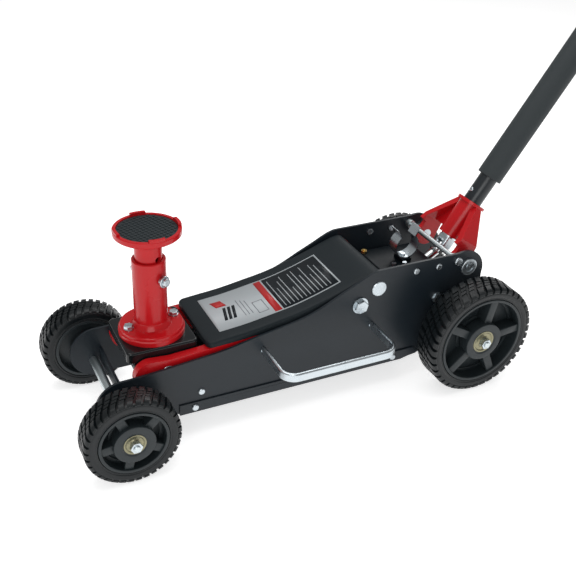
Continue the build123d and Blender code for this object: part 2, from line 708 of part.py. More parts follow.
with BuildPart() as lift_arm:
    with BuildSketch(side(-ARM_Y[0])):
        with BuildLine():
            nose = ThreePointArc(
                (ARM_NOSE[0], ARM_NOSE[1] - ARM_NOSE_R), (ARM_NOSE[0] - ARM_NOSE_R, ARM_NOSE[1]),
                (ARM_NOSE[0] + 6, ARM_NOSE[1] + ARM_NOSE_R - 0.6),
            )
            hub = ThreePointArc(
                (PIVOT_A[0] - ARM_HUB_R * 0.5, PIVOT_A[1] + ARM_HUB_R * 0.866),
                (PIVOT_A[0] + ARM_HUB_R, PIVOT_A[1]),
                (PIVOT_A[0] - ARM_HUB_R * 0.866, PIVOT_A[1] - ARM_HUB_R * 0.5),
            )
            Polyline(nose @ 1, *ARM_TOP, hub @ 0)
            Polyline(hub @ 1, *ARM_FOOT, nose @ 0)
        make_face()
    extrude(amount=ARM_Y[1] - ARM_Y[0])
    mirror(about=Plane.XZ)
    # web joining the two plates under the cover
    with BuildSketch(side(ARM_Y[0])):
        with BuildLine():
            upper = [(172, 174.3), (253, 180), (300, 190), (350, 200), (400, 214), (446, 230),
                     (480, 243), (492, 250)]
            lower = [(x, z - WEB_T) for x, z in reversed(upper)]
            Polyline(*upper, *lower, close=True)
        make_face()
    extrude(amount=2 * ARM_Y[0])
    with BuildSketch(side(ARM_Y[0])):
        with Locations(PIVOT_A):
            Circle(ARM_TUBE_R)
    extrude(amount=2 * ARM_Y[0])
    # two ears that the ram pushes
    for start in (EAR_Y[1], -EAR_Y[0]):
        with BuildSketch(side(start)):
            with BuildLine():
                spine = Line(PIVOT_A, (ear_x, ear_z))
                offset(spine, amount=12.5)
            make_face()
            with Locations((ear_x, ear_z)):
                Circle(EAR_R)
        extrude(amount=EAR_Y[1] - EAR_Y[0])
    for (x, z), radius in ((PIVOT_A, ARM_SHAFT_R + RUNNING), (PIVOT_H, HEAD_PIN_R),
                           ((ear_x, ear_z), RAM_PIN_R)):
        with BuildSketch(side(ARM_Y[1])):
            with Locations((x, z)):
                Circle(radius)
        extrude(amount=2 * ARM_Y[1], mode=Mode.SUBTRACT)
lift_arm.part.label = "lift_arm"
export_step(lift_arm.part, "parts/lift_arm.step")

# cover: a pressed lid with skirts that stand on the arm plates
COVER_Y = 81.0
COVER_T = 2.5
COVER_TOP = [(200, 188.2), (250, 193), (300, 201), (350, 210), (400, 224), (446, 240),
             (480, 253), (500, 259.5)]
COVER_FOOT = [(512, 257.5), (480, 245.5), (446, 231), (400, 214.6), (350, 200.6), (300, 190.6),
              (253, 180.6), (200, 177.5), (168, 175.2)]


def cover_outline(inset):
    """Side view of the cover; inset shrinks it at the top, front and rear and opens its foot."""
    top = [(x, z - inset) for x, z in COVER_TOP]
    front = [(168 + inset, 175.2 - inset), (168 + inset, 180 - inset), (172 + inset, 184.6 - inset)]
    rear = [
        (513 - inset, 260.4 - inset), (519 - inset, 257.5 - inset), (518 - inset, 254.5 - inset),
    ]
    foot = [(x, z - 8 * inset) for x, z in COVER_FOOT]
    return [*front, *top, *rear, *foot]


with BuildPart() as arm_cover:
    with BuildSketch(side(COVER_Y)):
        with BuildLine():
            Polyline(*cover_outline(0), close=True)
        make_face()
    extrude(amount=2 * COVER_Y)
    fillet(arm_cover.edges().filter_by(Axis.Z).group_by(Axis.X)[0], 9)
    with BuildSketch(side(COVER_Y - COVER_T)):
        with BuildLine():
            Polyline(*cover_outline(COVER_T), close=True)
        make_face()
    extrude(amount=2 * (COVER_Y - COVER_T), mode=Mode.SUBTRACT)
arm_cover.part.label = "arm_cover"
export_step(arm_cover.part, "parts/arm_cover.step")

for name, place, radius, half in (
    ("head_pin", PIVOT_H, HEAD_PIN_R, ARM_Y[1]),
    ("ram_pin", (ear_x, ear_z), RAM_PIN_R, EAR_Y[1] + 2),
):
    with BuildPart() as cross_pin:
        with BuildSketch(side(half)):
            with Locations(place):
                Circle(radius)
        extrude(amount=2 * half)
        chamfer(cross_pin.edges().filter_by(GeomType.CIRCLE), 1)
    cross_pin.part.label = name
    export_step(cross_pin.part, f"parts/{name}.step")

# ------------------------------------------------------------------ levelling links
with BuildPart() as levelling_links:
    with BuildSketch(side(-LINK_Y[0])):
        with BuildLine():
            run = Line(PIVOT_B, PIVOT_K)
            offset(run, amount=6)
        make_face()
        with Locations(PIVOT_B):
            Circle(13)
        with Locations(PIVOT_K):
            Circle(10)
        with Locations(PIVOT_B):
            Circle(LINK_SHAFT_R + RUNNING, mode=Mode.SUBTRACT)
        with Locations(PIVOT_K):
            Circle(LINK_PIN_R, mode=Mode.SUBTRACT)
    extrude(amount=LINK_Y[1] - LINK_Y[0])
    mirror(about=Plane.XZ)
levelling_links.part.label = "levelling_links"
export_step(levelling_links.part, "parts/levelling_links.step")

with BuildPart() as link_pin:
    with BuildSketch(side(CHEEK_Y[1] + 1)):
        with Locations(PIVOT_K):
            Circle(LINK_PIN_R)
    extrude(amount=2 * (CHEEK_Y[1] + 1))
    chamfer(link_pin.edges().filter_by(GeomType.CIRCLE), 0.8)
link_pin.part.label = "link_pin"
export_step(link_pin.part, "parts/link_pin.step")

# ------------------------------------------------------------------ saddle head
HEAD_X = (26.0, 158.0)
HEAD_PLATE_Z = 167.0
HEAD_HALF_Y = 63.0
HEAD_CORNER_R = 10.0
WEB_Y = 26.0
BOLT_R = 5.0
BOLT_CIRCLE = [
    (COLUMN_X + way * 45.3 * cos(radians(10)), way * 45.3 * sin(radians(10))) for way in (-1, 1)
]
OPEN_PIVOT = 0.4                 # room round the link pin, where the linkage is opened
with BuildPart() as saddle_head:
    with BuildSketch(level(HEAD_PLATE_Z)):
        with Locations(((HEAD_X[0] + HEAD_X[1]) / 2, 0)):
            RectangleRounded(HEAD_X[1] - HEAD_X[0], 2 * HEAD_HALF_Y, HEAD_CORNER_R)
    extrude(amount=FLANGE_Z - HEAD_PLATE_Z)
    fillet(saddle_head.faces().sort_by(Axis.Z)[-1].edges(), 4)
    # cheeks outside the links
    with BuildSketch(side(-CHEEK_Y[0])):
        with BuildLine():
            Polyline(
                (38, HEAD_PLATE_Z + 2), (40, 150), (45, 118), (PIVOT_K[0], PIVOT_K[1] - 10.5),
                (66, 118), (88, 124), (118, 146), (124, HEAD_PLATE_Z + 2), close=True,
            )
        make_face()
        with Locations(PIVOT_H):
            Circle(23)
        with Locations(PIVOT_K):
            Circle(10.5)
    extrude(amount=CHEEK_Y[1] - CHEEK_Y[0])
    mirror(about=Plane.XZ)
    # web between the links
    with BuildSketch(side(WEB_Y)):
        with BuildLine():
            Polyline(
                (68, HEAD_PLATE_Z + 2), (72, 140), (118, 140), (124, HEAD_PLATE_Z + 2),
                close=True,
            )
        make_face()
        with Locations(PIVOT_H):
            Circle(22)
    extrude(amount=2 * WEB_Y)
    with BuildSketch(side(HEAD_HALF_Y)):
        with Locations(PIVOT_H):
            Circle(HEAD_PIN_R + RUNNING)
        with Locations(PIVOT_K):
            Circle(LINK_PIN_R + OPEN_PIVOT)
    extrude(amount=2 * HEAD_HALF_Y, mode=Mode.SUBTRACT)
    with BuildSketch(level(FLANGE_Z)):
        with Locations(*BOLT_CIRCLE):
            Circle(BOLT_R)
    extrude(amount=-12, mode=Mode.SUBTRACT)
saddle_head.part.label = "saddle_head"
export_step(saddle_head.part, "parts/saddle_head.step")

# ------------------------------------------------------------------ saddle column
LIP_Z = 203.0                    # seat of the flange bolts
column_profile = Plane(origin=(FRONT_X + COLUMN_X, 0, 0), x_dir=(1, 0, 0), z_dir=(0, -1, 0))
column_line = Axis((FRONT_X + COLUMN_X, 0, 0), (0, 0, 1))
lock_origin = Vector(FRONT_X + COLUMN_X, 0, LOCK_PIN_Z)


def column_level(z):
    """Plane facing up with its origin on the column's axis."""
    return Plane(origin=(FRONT_X + COLUMN_X, 0, z))


with BuildPart() as extension_sleeve:
    with BuildSketch(column_profile):
        with BuildLine():
            Polyline(
                (TUBE_R + RUNNING, FLANGE_Z), (FLANGE_R, FLANGE_Z), (FLANGE_R, 195),
                (57.5, 196.5), (57.5, LIP_Z - 2), (56, LIP_Z), (36, LIP_Z), (35, 205.5),
                (33, 208), (SLEEVE_R, 214), (SLEEVE_R, SLEEVE_TOP - 1.5),
                (SLEEVE_R - 1.5, SLEEVE_TOP), (TUBE_R + 1, SLEEVE_TOP),
                (TUBE_R + RUNNING, SLEEVE_TOP - 1), close=True,
            )
        make_face()
    revolve(axis=column_line)
    with BuildSketch(Plane(origin=lock_origin, z_dir=LOCK_DIR)):
        Circle(LOCK_PIN_R + RUNNING)
    extrude(amount=50, both=True, mode=Mode.SUBTRACT)
    with BuildSketch(column_level(FLANGE_Z)):
        with PolarLocations(45.3, 2, start_angle=10):
            Circle(BOLT_R)
    extrude(amount=30, mode=Mode.SUBTRACT)
extension_sleeve.part.label = "extension_sleeve"
export_step(extension_sleeve.part, "parts/extension_sleeve.step")

with BuildPart() as flange_bolts:
    with BuildSketch(level(FLANGE_Z - 12)):
        with Locations(*BOLT_CIRCLE):
            Circle(BOLT_R)
    extrude(amount=LIP_Z - FLANGE_Z + 12)
    with BuildSketch(level(LIP_Z)):
        with Locations(*BOLT_CIRCLE):
            Circle(8.8)
    extrude(amount=1.8)
    with BuildSketch(level(LIP_Z + 1.8)):
        with Locations(*BOLT_CIRCLE):
            RegularPolygon(7.5, 6, major_radius=False)
    extrude(amount=6.5)
    fillet(flange_bolts.faces().sort_by(Axis.Z)[-2:].edges(), 1.5)
flange_bolts.part.label = "flange_bolts"
export_step(flange_bolts.part, "parts/flange_bolts.step")

# extension tube: its foot straddles the locking pin, its upper hole is for a lower setting
TUBE_FOOT = 262.0
TUBE_TOP = CUP_Z - 0.4
STEM_R = 15.0
UPPER_HOLE_Z = 338.0
with BuildPart() as extension_tube:
    with BuildSketch(column_profile):
        with BuildLine():
            Polyline(
                (18.5, TUBE_FOOT), (TUBE_R, TUBE_FOOT), (TUBE_R, TUBE_TOP),
                (STEM_R + RUNNING, TUBE_TOP), (STEM_R + RUNNING, TUBE_TOP - 25),
                (18.5, TUBE_TOP - 25), close=True,
            )
        make_face()
    revolve(axis=column_line)
    with BuildSketch(Plane(origin=(FRONT_X + COLUMN_X, 0, UPPER_HOLE_Z), z_dir=LOCK_DIR)):
        Circle(LOCK_PIN_R + 0.3)
    extrude(amount=50, both=True, mode=Mode.SUBTRACT)
    with BuildSketch(Plane(origin=lock_origin, x_dir=(0, 0, 1), z_dir=LOCK_DIR)):
        Circle(LOCK_PIN_R + 0.1)
        with Locations((-30, 0)):
            Rectangle(60, 2 * LOCK_PIN_R + 0.2)
    extrude(amount=50, both=True, mode=Mode.SUBTRACT)
extension_tube.part.label = "extension_tube"
export_step(extension_tube.part, "parts/extension_tube.step")

LUG_W = 28.0
LUG_H = 4.0
LUG_ROOT = 2.0                   # how far a lug is sunk into the rim
with BuildPart() as saddle_cup:
    with BuildSketch(column_profile):
        with BuildLine():
            Polyline(
                (0, CUP_Z - 24), (STEM_R, CUP_Z - 24), (STEM_R, CUP_Z), (CUP_R - 2.5, CUP_Z),
                (CUP_R, CUP_Z + 2.5), (CUP_R, PAD_TOP - 1), (CUP_R - 1, PAD_TOP),
                (PAD_R + 0.4, PAD_TOP), (PAD_R + 0.4, PAD_TOP - 4), (0, PAD_TOP - 4), close=True,
            )
        make_face()
    revolve(axis=column_line)
    # four lugs that stand above the rim
    with BuildSketch(column_level(PAD_TOP - LUG_ROOT)):
        Rectangle(2 * CUP_R, LUG_W)
        Rectangle(LUG_W, 2 * CUP_R)
        Circle(CUP_R - 0.5, mode=Mode.INTERSECT)
        Circle(PAD_R + 0.6, mode=Mode.SUBTRACT)
    extrude(amount=LUG_ROOT + LUG_H)
saddle_cup.part.label = "saddle_cup"
export_step(saddle_cup.part, "parts/saddle_cup.step")

with BuildPart() as saddle_pad:
    with BuildSketch(column_level(PAD_TOP - 4)):
        Circle(PAD_R)
    extrude(amount=4)
    chamfer(saddle_pad.edges().group_by(Axis.Z)[-1], 0.6)
saddle_pad.part.label = "saddle_pad"
export_step(saddle_pad.part, "parts/saddle_pad.step")

# locking pin: knob on the near side, hung with a spring clip
PIN_TIP = 44.0                   # from the column's axis to the plain end
PIN_SHOULDER = 31.0
with BuildPart() as locking_pin:
    with BuildSketch(Plane(origin=lock_origin - PIN_TIP * LOCK_DIR, z_dir=LOCK_DIR)):
        Circle(LOCK_PIN_R)
    extrude(amount=PIN_TIP + PIN_SHOULDER)
    chamfer(locking_pin.edges().filter_by(GeomType.CIRCLE).sort_by(Axis.Y)[-1], 1.5)
    with BuildSketch(Plane(origin=lock_origin + PIN_SHOULDER * LOCK_DIR, z_dir=LOCK_DIR)):
        Circle(8)
    extrude(amount=14)
    fillet(locking_pin.edges().filter_by(GeomType.CIRCLE).sort_by(Axis.Y)[:1], 3)
locking_pin.part.label = "locking_pin"
export_step(locking_pin.part, "parts/locking_pin.step")

CLIP_WIRE_R = 1.5
CLIP_LOOP_R = 9.5
clip_centre = lock_origin + (PIN_SHOULDER + 7) * LOCK_DIR
with BuildPart() as pin_clip:
    with BuildSketch(Plane(
        origin=clip_centre + Vector(0, 0, CLIP_LOOP_R), x_dir=(0, 0, 1),
        z_dir=LOCK_DIR.cross(Vector(0, 0, 1)),
    )):
        Circle(CLIP_WIRE_R)
    revolve(axis=Axis(clip_centre, LOCK_DIR))
pin_clip.part.label = "pin_clip"
export_step(pin_clip.part, "parts/pin_clip.step")

# ------------------------------------------------------------------ ram rod
SLOT_R = RAM_PIN_R + 0.6
ROD_HEAD_Y = 11.0
ROD_END = 672.0
NECK_END = 24.0
with BuildPart() as ram_rod:
    with BuildSketch(side(ROD_HEAD_Y)):
        with Locations((ear_x - 1, RAM_Z)):
            RectangleRounded(36, 46, 10)
    extrude(amount=2 * ROD_HEAD_Y)
    # a thinner neck passes between the ears of the arm
    with BuildSketch(Plane(origin=(FRONT_X + ear_x + 8, 0, RAM_Z), z_dir=(1, 0, 0))):
        Circle(ROD_HEAD_Y)
    extrude(amount=NECK_END - 8)
    with BuildSketch(Plane(origin=(FRONT_X + ear_x + NECK_END, 0, RAM_Z), z_dir=(1, 0, 0))):
        Circle(ROD_R)
    extrude(amount=ROD_END - ear_x - NECK_END)
    with BuildSketch(side(ROD_R + 1)):
        with Locations((ear_x, RAM_Z)):
            SlotCenterToCenter(9.8, 2 * SLOT_R, rotation=90)
    extrude(amount=2 * ROD_R + 2, mode=Mode.SUBTRACT)
ram_rod.part.label = "ram_rod"
export_step(ram_rod.part, "parts/ram_rod.step")

# ------------------------------------------------------------------ handle socket
TUBE_OUT_R = 19.0
BARREL_R = 23.5
BARREL_FROM = 26.0
COLLAR_AT = 102.0
COLLAR_R = 30.3
EYE_R = 24.0
EYE_BORE = 10.0
ROLLER_PIN_R = 4.0
LEG_FRONT = 34.0
with BuildPart() as handle_socket:
    # slanted legs, cut to the side view of the casting
    with BuildSketch(along_handle(LEG_FRONT)):
        with BuildLine():
            Polyline(
                (22, COLLAR_AT), (31, COLLAR_AT), (EYE_OUT, 38), (EYE_OUT, -EYE_R),
                (EYE_IN, -EYE_R), (EYE_IN, 33), (22, 90), close=True,
            )
        make_face()
        mirror(about=Plane.YZ)
    extrude(amount=62)
    with BuildSketch(beside_handle(EYE_OUT)):
        with BuildLine():
            Polyline(
                (0, -EYE_R), (34, -18), (COLLAR_AT, -6), (COLLAR_AT, 9), (24, LEG_FRONT),
                (21, 22), (0, 22), close=True,
            )
        make_face()
        Circle(EYE_R)
    extrude(amount=2 * EYE_OUT, mode=Mode.INTERSECT)
    # web between the legs, open at the foot
    with BuildSketch(along_handle(5)):
        with BuildLine():
            Polyline((-26, COLLAR_AT - 2), (26, COLLAR_AT - 2), (60, 36), (-60, 36), close=True)
        make_face()
    extrude(amount=5)
    with BuildSketch(across_handle(BARREL_FROM)):
        Circle(BARREL_R)
    extrude(amount=COLLAR_AT - BARREL_FROM)
    with BuildSketch(across_handle(COLLAR_AT)):
        Circle(COLLAR_R)
    extrude(amount=6)
    # lug for the pump roller on the left leg
    with BuildSketch(side(-50.5)):
        with BuildLine():
            Polyline(
                (HINGE[0] - 15 * valve_cos, HINGE[1] - 15 * valve_sin),
                (roller_x - 7.5 * valve_cos, roller_z - 7.5 * valve_sin),
                (roller_x + 7.5 * valve_cos, roller_z + 7.5 * valve_sin),
                (HINGE[0] + 15 * valve_cos, HINGE[1] + 15 * valve_sin), close=True,
            )
        make_face()
        with Locations(HINGE):
            Circle(18)
        with Locations((roller_x, roller_z)):
            Circle(7.5)
    extrude(amount=EYE_IN - 50.5)
    with BuildSketch(side(-50.5)):
        with Locations((roller_x, roller_z)):
            Circle(ROLLER_PIN_R)
    extrude(amount=EYE_IN - 50.5, mode=Mode.SUBTRACT)
    with BuildSketch(across_handle(0)):
        Circle(TUBE_OUT_R + RUNNING)
    extrude(amount=120, mode=Mode.SUBTRACT)
    with BuildSketch(side(EYE_OUT)):
        with Locations(HINGE):
            Circle(EYE_BORE + RUNNING)
    extrude(amount=2 * EYE_OUT, mode=Mode.SUBTRACT)
handle_socket.part.label = "handle_socket"
export_step(handle_socket.part, "parts/handle_socket.step")

with BuildPart() as pump_roller:
    with BuildSketch(side(-34)):
        with Locations((roller_x, roller_z)):
            Circle(ROLLER_R)
    extrude(amount=15.5)
    with BuildSketch(side(-34)):
        with Locations((roller_x, roller_z)):
            Circle(ROLLER_PIN_R)
    extrude(amount=EYE_IN - 34)
pump_roller.part.label = "pump_roller"
export_step(pump_roller.part, "parts/pump_roller.step")

with BuildPart() as pump_plunger:
    with BuildSketch(down_valve(head_x, PUMP_Y, head_z)):
        Circle(12)
    extrude(amount=5)
    with BuildSketch(down_valve(head_x, PUMP_Y, head_z)):
        Circle(PLUNGER_R)
    extrude(amount=70)
pump_plunger.part.label = "pump_plunger"
export_step(pump_plunger.part, "parts/pump_plunger.step")

# ------------------------------------------------------------------ universal joint
BALL_R = 11.0
with BuildPart() as valve_shaft:
    with BuildSketch(down_valve(HINGE[0], 0, HINGE[1])):
        Circle(5.5)
    extrude(amount=20)
    with BuildSketch(down_valve(HINGE[0], 0, HINGE[1]).offset(16)):
        Circle(VALVE_R)
    extrude(amount=46)
    with Locations((FRONT_X + HINGE[0], 0, HINGE[1])):
        Sphere(BALL_R)
valve_shaft.part.label = "valve_shaft"
export_step(valve_shaft.part, "parts/valve_shaft.step")

FORK_R = 15.0
with BuildPart() as joint_fork:
    with BuildSketch(across_handle(0.5)):
        RectangleRounded(2 * FORK_R, 2 * FORK_R - 4, 5)
    extrude(amount=21.5)
    with BuildSketch(across_handle(22)):
        Circle(16)
    extrude(amount=10)
    with Locations((FRONT_X + HINGE[0], 0, HINGE[1])):
        Sphere(BALL_R + 0.2, mode=Mode.SUBTRACT)
    # slot between the two ears
    with BuildSketch(across_handle(0)):
        Rectangle(15, 2 * FORK_R)
    extrude(amount=14, mode=Mode.SUBTRACT)
joint_fork.part.label = "joint_fork"
export_step(joint_fork.part, "parts/joint_fork.step")

# ------------------------------------------------------------------ handle
TUBE_WALL = 2.5
TUBE_FROM = 32.0
TUBE_SPLIT = 610.0
SLEEVE_FROM = 166.0
SLEEVE_TO = 600.0
BUTTON_AT = 128.0
BUTTON_R = 4.5
GRIP_FROM = 1020.0
with BuildPart() as handle_lower_tube:
    with BuildSketch(across_handle(TUBE_FROM)):
        Circle(TUBE_OUT_R)
        Circle(TUBE_OUT_R - TUBE_WALL, mode=Mode.SUBTRACT)
    extrude(amount=TUBE_SPLIT - TUBE_FROM)
    with BuildSketch(along_handle(30)):
        with Locations((0, BUTTON_AT)):
            Circle(BUTTON_R + RUNNING)
    extrude(amount=30, mode=Mode.SUBTRACT)
handle_lower_tube.part.label = "handle_lower_tube"
export_step(handle_lower_tube.part, "parts/handle_lower_tube.step")

with BuildPart() as handle_sleeve:
    with BuildSketch(across_handle(SLEEVE_FROM)):
        Circle(25.8)
        Circle(TUBE_OUT_R, mode=Mode.SUBTRACT)
    extrude(amount=SLEEVE_TO - SLEEVE_FROM)
    fillet(handle_sleeve.edges().filter_by(GeomType.CIRCLE).filter_by(lambda e: e.radius > 25), 2)
handle_sleeve.part.label = "handle_sleeve"
export_step(handle_sleeve.part, "parts/handle_sleeve.step")

# upper half: a swaged spigot enters the lower tube
SPIGOT_R = TUBE_OUT_R - TUBE_WALL
with BuildPart() as handle_upper_tube:
    with BuildSketch(across_handle(TUBE_SPLIT)):
        Circle(TUBE_OUT_R)
        Circle(SPIGOT_R - TUBE_WALL, mode=Mode.SUBTRACT)
    extrude(amount=HANDLE_LENGTH - 6 - TUBE_SPLIT)
    with BuildSketch(across_handle(TUBE_SPLIT - 80)):
        Circle(SPIGOT_R)
        Circle(SPIGOT_R - TUBE_WALL, mode=Mode.SUBTRACT)
    extrude(amount=80)
handle_upper_tube.part.label = "handle_upper_tube"
export_step(handle_upper_tube.part, "parts/handle_upper_tube.step")

with BuildPart() as handle_grip:
    with BuildSketch(across_handle(GRIP_FROM)):
        Circle(GRIP_R)
    extrude(amount=HANDLE_LENGTH - GRIP_FROM)
    fillet(handle_grip.edges().filter_by(GeomType.CIRCLE), GRIP_ROUND)
    with BuildSketch(across_handle(GRIP_FROM)):
        Circle(TUBE_OUT_R)
    extrude(amount=HANDLE_LENGTH - 6 - GRIP_FROM, mode=Mode.SUBTRACT)
handle_grip.part.label = "handle_grip"
export_step(handle_grip.part, "parts/handle_grip.step")

with BuildPart() as handle_button:
    with BuildSketch(along_handle(TUBE_OUT_R + 4)):
        with Locations((0, BUTTON_AT)):
            Circle(BUTTON_R)
    extrude(amount=9)
    fillet(handle_button.edges().group_by(Axis.Z)[-1].filter_by(GeomType.CIRCLE), 2)
handle_button.part.label = "handle_button"
export_step(handle_button.part, "parts/handle_button.step")
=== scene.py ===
"""Looks of a hydraulic floor jack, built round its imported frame.

Lengths are millimetres measured from the ground under the front axle, unless a name says metres.
"""
import json
import math

import bmesh
import bpy
from mathutils import Matrix, Vector


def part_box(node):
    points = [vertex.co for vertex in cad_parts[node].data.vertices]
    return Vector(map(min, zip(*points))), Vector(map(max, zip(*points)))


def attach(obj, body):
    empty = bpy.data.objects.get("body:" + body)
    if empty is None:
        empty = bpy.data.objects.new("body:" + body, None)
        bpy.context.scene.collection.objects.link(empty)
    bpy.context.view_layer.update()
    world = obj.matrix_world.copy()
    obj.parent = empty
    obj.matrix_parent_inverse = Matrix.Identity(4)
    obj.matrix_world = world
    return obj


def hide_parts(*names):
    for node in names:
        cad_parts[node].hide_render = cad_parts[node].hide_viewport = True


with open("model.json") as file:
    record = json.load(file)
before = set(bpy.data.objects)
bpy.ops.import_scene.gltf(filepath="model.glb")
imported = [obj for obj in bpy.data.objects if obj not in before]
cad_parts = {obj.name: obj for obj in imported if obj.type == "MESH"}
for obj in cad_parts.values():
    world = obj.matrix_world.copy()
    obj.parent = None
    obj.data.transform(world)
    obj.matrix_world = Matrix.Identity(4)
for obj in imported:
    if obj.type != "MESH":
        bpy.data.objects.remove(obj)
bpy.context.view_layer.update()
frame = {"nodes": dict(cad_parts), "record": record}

MM = 0.001
axle_low, axle_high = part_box("front_axle")
FRONT_X = (axle_low.x + axle_high.x) / 2
BODY_OF = {
    node: body
    for body, nodes in frame["record"]["behaviour"]["bodies"].items()
    for node in nodes
}
SLOT_OF = {part["node"]: part["material_slot"] for part in frame["record"]["subparts"]}


def place(x, y, z):
    """A point of the jack, in metres of the frame."""
    return Vector((FRONT_X + x * MM, y * MM, z * MM))


# ---------------------------------------------------------------- node helpers
COAT_ROUGHNESS = 0.12
MIX_FACTOR = 0
MIX_COLOURS = (6, 7)
MIX_RESULT = 2


def add_node(tree, kind, **values):
    """A node with its plain properties and unlinked inputs set."""
    node = tree.nodes.new(kind)
    for name, value in values.items():
        if hasattr(node, name):
            setattr(node, name, value)
        else:
            node.inputs[name.replace("_", " ")].default_value = value
    return node


def join(tree, source, output, target, name):
    """Links one socket to another by name or number."""
    tree.links.new(source.outputs[output], target.inputs[name])


def finish_group():
    """Shader group: a colour, a roughness and a height that drift over a surface."""
    tree = bpy.data.node_groups.new("painted_or_moulded_surface", "ShaderNodeTree")
    face = tree.interface
    face.new_socket("Vector", in_out="INPUT", socket_type="NodeSocketVector")
    for name in ("Colour", "Patch Colour"):
        face.new_socket(name, in_out="INPUT", socket_type="NodeSocketColor")
    for name in ("Patch Scale", "Grain Scale", "Smoothest", "Roughest"):
        face.new_socket(name, in_out="INPUT", socket_type="NodeSocketFloat")
    face.new_socket("Colour", in_out="OUTPUT", socket_type="NodeSocketColor")
    face.new_socket("Roughness", in_out="OUTPUT", socket_type="NodeSocketFloat")
    face.new_socket("Height", in_out="OUTPUT", socket_type="NodeSocketFloat")
    start = tree.nodes.new("NodeGroupInput")
    end = tree.nodes.new("NodeGroupOutput")
    patch = add_node(tree, "ShaderNodeTexNoise", Detail=3.0)
    grain = add_node(tree, "ShaderNodeTexNoise", Detail=2.0)
    spread = add_node(tree, "ShaderNodeMapRange", From_Min=0.3, From_Max=0.7)
    blend = add_node(tree, "ShaderNodeMix", data_type="RGBA")
    join(tree, start, "Vector", patch, "Vector")
    join(tree, start, "Vector", grain, "Vector")
    join(tree, start, "Patch Scale", patch, "Scale")
    join(tree, start, "Grain Scale", grain, "Scale")
    join(tree, patch, "Fac", spread, "Value")
    join(tree, start, "Smoothest", spread, "To Min")
    join(tree, start, "Roughest", spread, "To Max")
    join(tree, patch, "Fac", blend, MIX_FACTOR)
    join(tree, start, "Colour", blend, MIX_COLOURS[0])
    join(tree, start, "Patch Colour", blend, MIX_COLOURS[1])
    join(tree, blend, MIX_RESULT, end, "Colour")
    join(tree, spread, "Result", end, "Roughness")
    join(tree, grain, "Fac", end, "Height")
    return tree


SURFACE = finish_group()


def finish(name, colour, patch, rough, grain=900.0, bump=0.1, depth=0.0001,
           patches=14.0, metal=0.0, gloss=0.5, coat=0.0, stretch=(1, 1, 1)):
    """A material whose colour, roughness and bump come from the shared surface group."""
    material = bpy.data.materials.new(name)
    material.use_nodes = True
    tree = material.node_tree
    shader = tree.nodes["Principled BSDF"]
    shader.inputs["Metallic"].default_value = metal
    shader.inputs["Specular IOR Level"].default_value = gloss
    shader.inputs["Coat Weight"].default_value = coat
    shader.inputs["Coat Roughness"].default_value = COAT_ROUGHNESS
    where = tree.nodes.new("ShaderNodeTexCoord")
    turn = add_node(tree, "ShaderNodeMapping")
    turn.inputs["Scale"].default_value = stretch
    surface = tree.nodes.new("ShaderNodeGroup")
    surface.node_tree = SURFACE
    surface.inputs["Colour"].default_value = (*colour, 1)
    surface.inputs["Patch Colour"].default_value = (*patch, 1)
    surface.inputs["Patch Scale"].default_value = patches
    surface.inputs["Grain Scale"].default_value = grain
    surface.inputs["Smoothest"].default_value = rough[0]
    surface.inputs["Roughest"].default_value = rough[1]
    relief = add_node(tree, "ShaderNodeBump", Strength=bump, Distance=depth)
    join(tree, where, "Object", turn, "Vector")
    join(tree, turn, "Vector", surface, "Vector")
    join(tree, surface, "Colour", shader, "Base Color")
    join(tree, surface, "Roughness", shader, "Roughness")
    join(tree, surface, "Height", relief, "Height")
    join(tree, relief, "Normal", shader, "Normal")
    return material


BLACK = finish("satin_black_paint", (0.008, 0.013, 0.018), (0.014, 0.02, 0.026),
               rough=(0.3, 0.38), grain=700, bump=0.12, gloss=0.34)
# Painted shade: the frame's black paint made darker and less glossy for the parts that sit inside
# the frame (pump block, oil tank, ram cylinder).
PAINTED_SHADE_BLACK = finish("black_paint_with_painted_shade", (0.003, 0.006, 0.008), (0.006, 0.009, 0.012),
                    rough=(0.3, 0.4), grain=700, bump=0.12, gloss=0.1)
COVER_BLACK = finish("matt_black_paint", (0.009, 0.014, 0.017), (0.013, 0.019, 0.023),
                     rough=(0.44, 0.52), grain=1400, bump=0.25, gloss=0.18)
CASTING = finish("gloss_black_casting", (0.004, 0.006, 0.007), (0.008, 0.01, 0.012),
                 rough=(0.16, 0.26), grain=160, bump=0.35, depth=0.0005, gloss=0.4)
RED = finish("red_paint", (0.5, 0.006, 0.01), (0.56, 0.009, 0.013), rough=(0.2, 0.28),
             grain=420, bump=0.1, gloss=0.28, coat=0.08)
ZINC = finish("bright_zinc", (0.5, 0.56, 0.6), (0.64, 0.69, 0.72), rough=(0.22, 0.36),
              grain=300, bump=0.1, metal=1.0, patches=60)
DULL_ZINC = finish("plain_zinc_tube", (0.56, 0.63, 0.65), (0.66, 0.72, 0.73),
                   rough=(0.34, 0.46), grain=200, bump=0.15, metal=1.0, stretch=(1, 0.12, 1))
POLISHED = finish("ground_steel", (0.62, 0.64, 0.65), (0.7, 0.71, 0.72), rough=(0.12, 0.2),
                  grain=500, bump=0.05, metal=1.0)
YELLOW_ZINC = finish("yellow_zinc", (0.3, 0.28, 0.17), (0.22, 0.21, 0.15), rough=(0.25, 0.4),
                     metal=1.0, patches=90)
BRASS = finish("brass", (0.8, 0.56, 0.2), (0.7, 0.5, 0.2), rough=(0.2, 0.3), metal=1.0)
TYRE = finish("tyre_rubber", (0.003, 0.005, 0.006), (0.007, 0.01, 0.012), rough=(0.3, 0.46),
              grain=1100, bump=0.3, patches=30, gloss=0.36)
RIM = finish("moulded_rim", (0.013, 0.019, 0.022), (0.019, 0.026, 0.029), rough=(0.4, 0.48),
             grain=1500, bump=0.15, gloss=0.4)
PAD = finish("pad_rubber", (0.012, 0.018, 0.021), (0.02, 0.028, 0.032), rough=(0.5, 0.65),
             grain=900, bump=0.3, gloss=0.3)
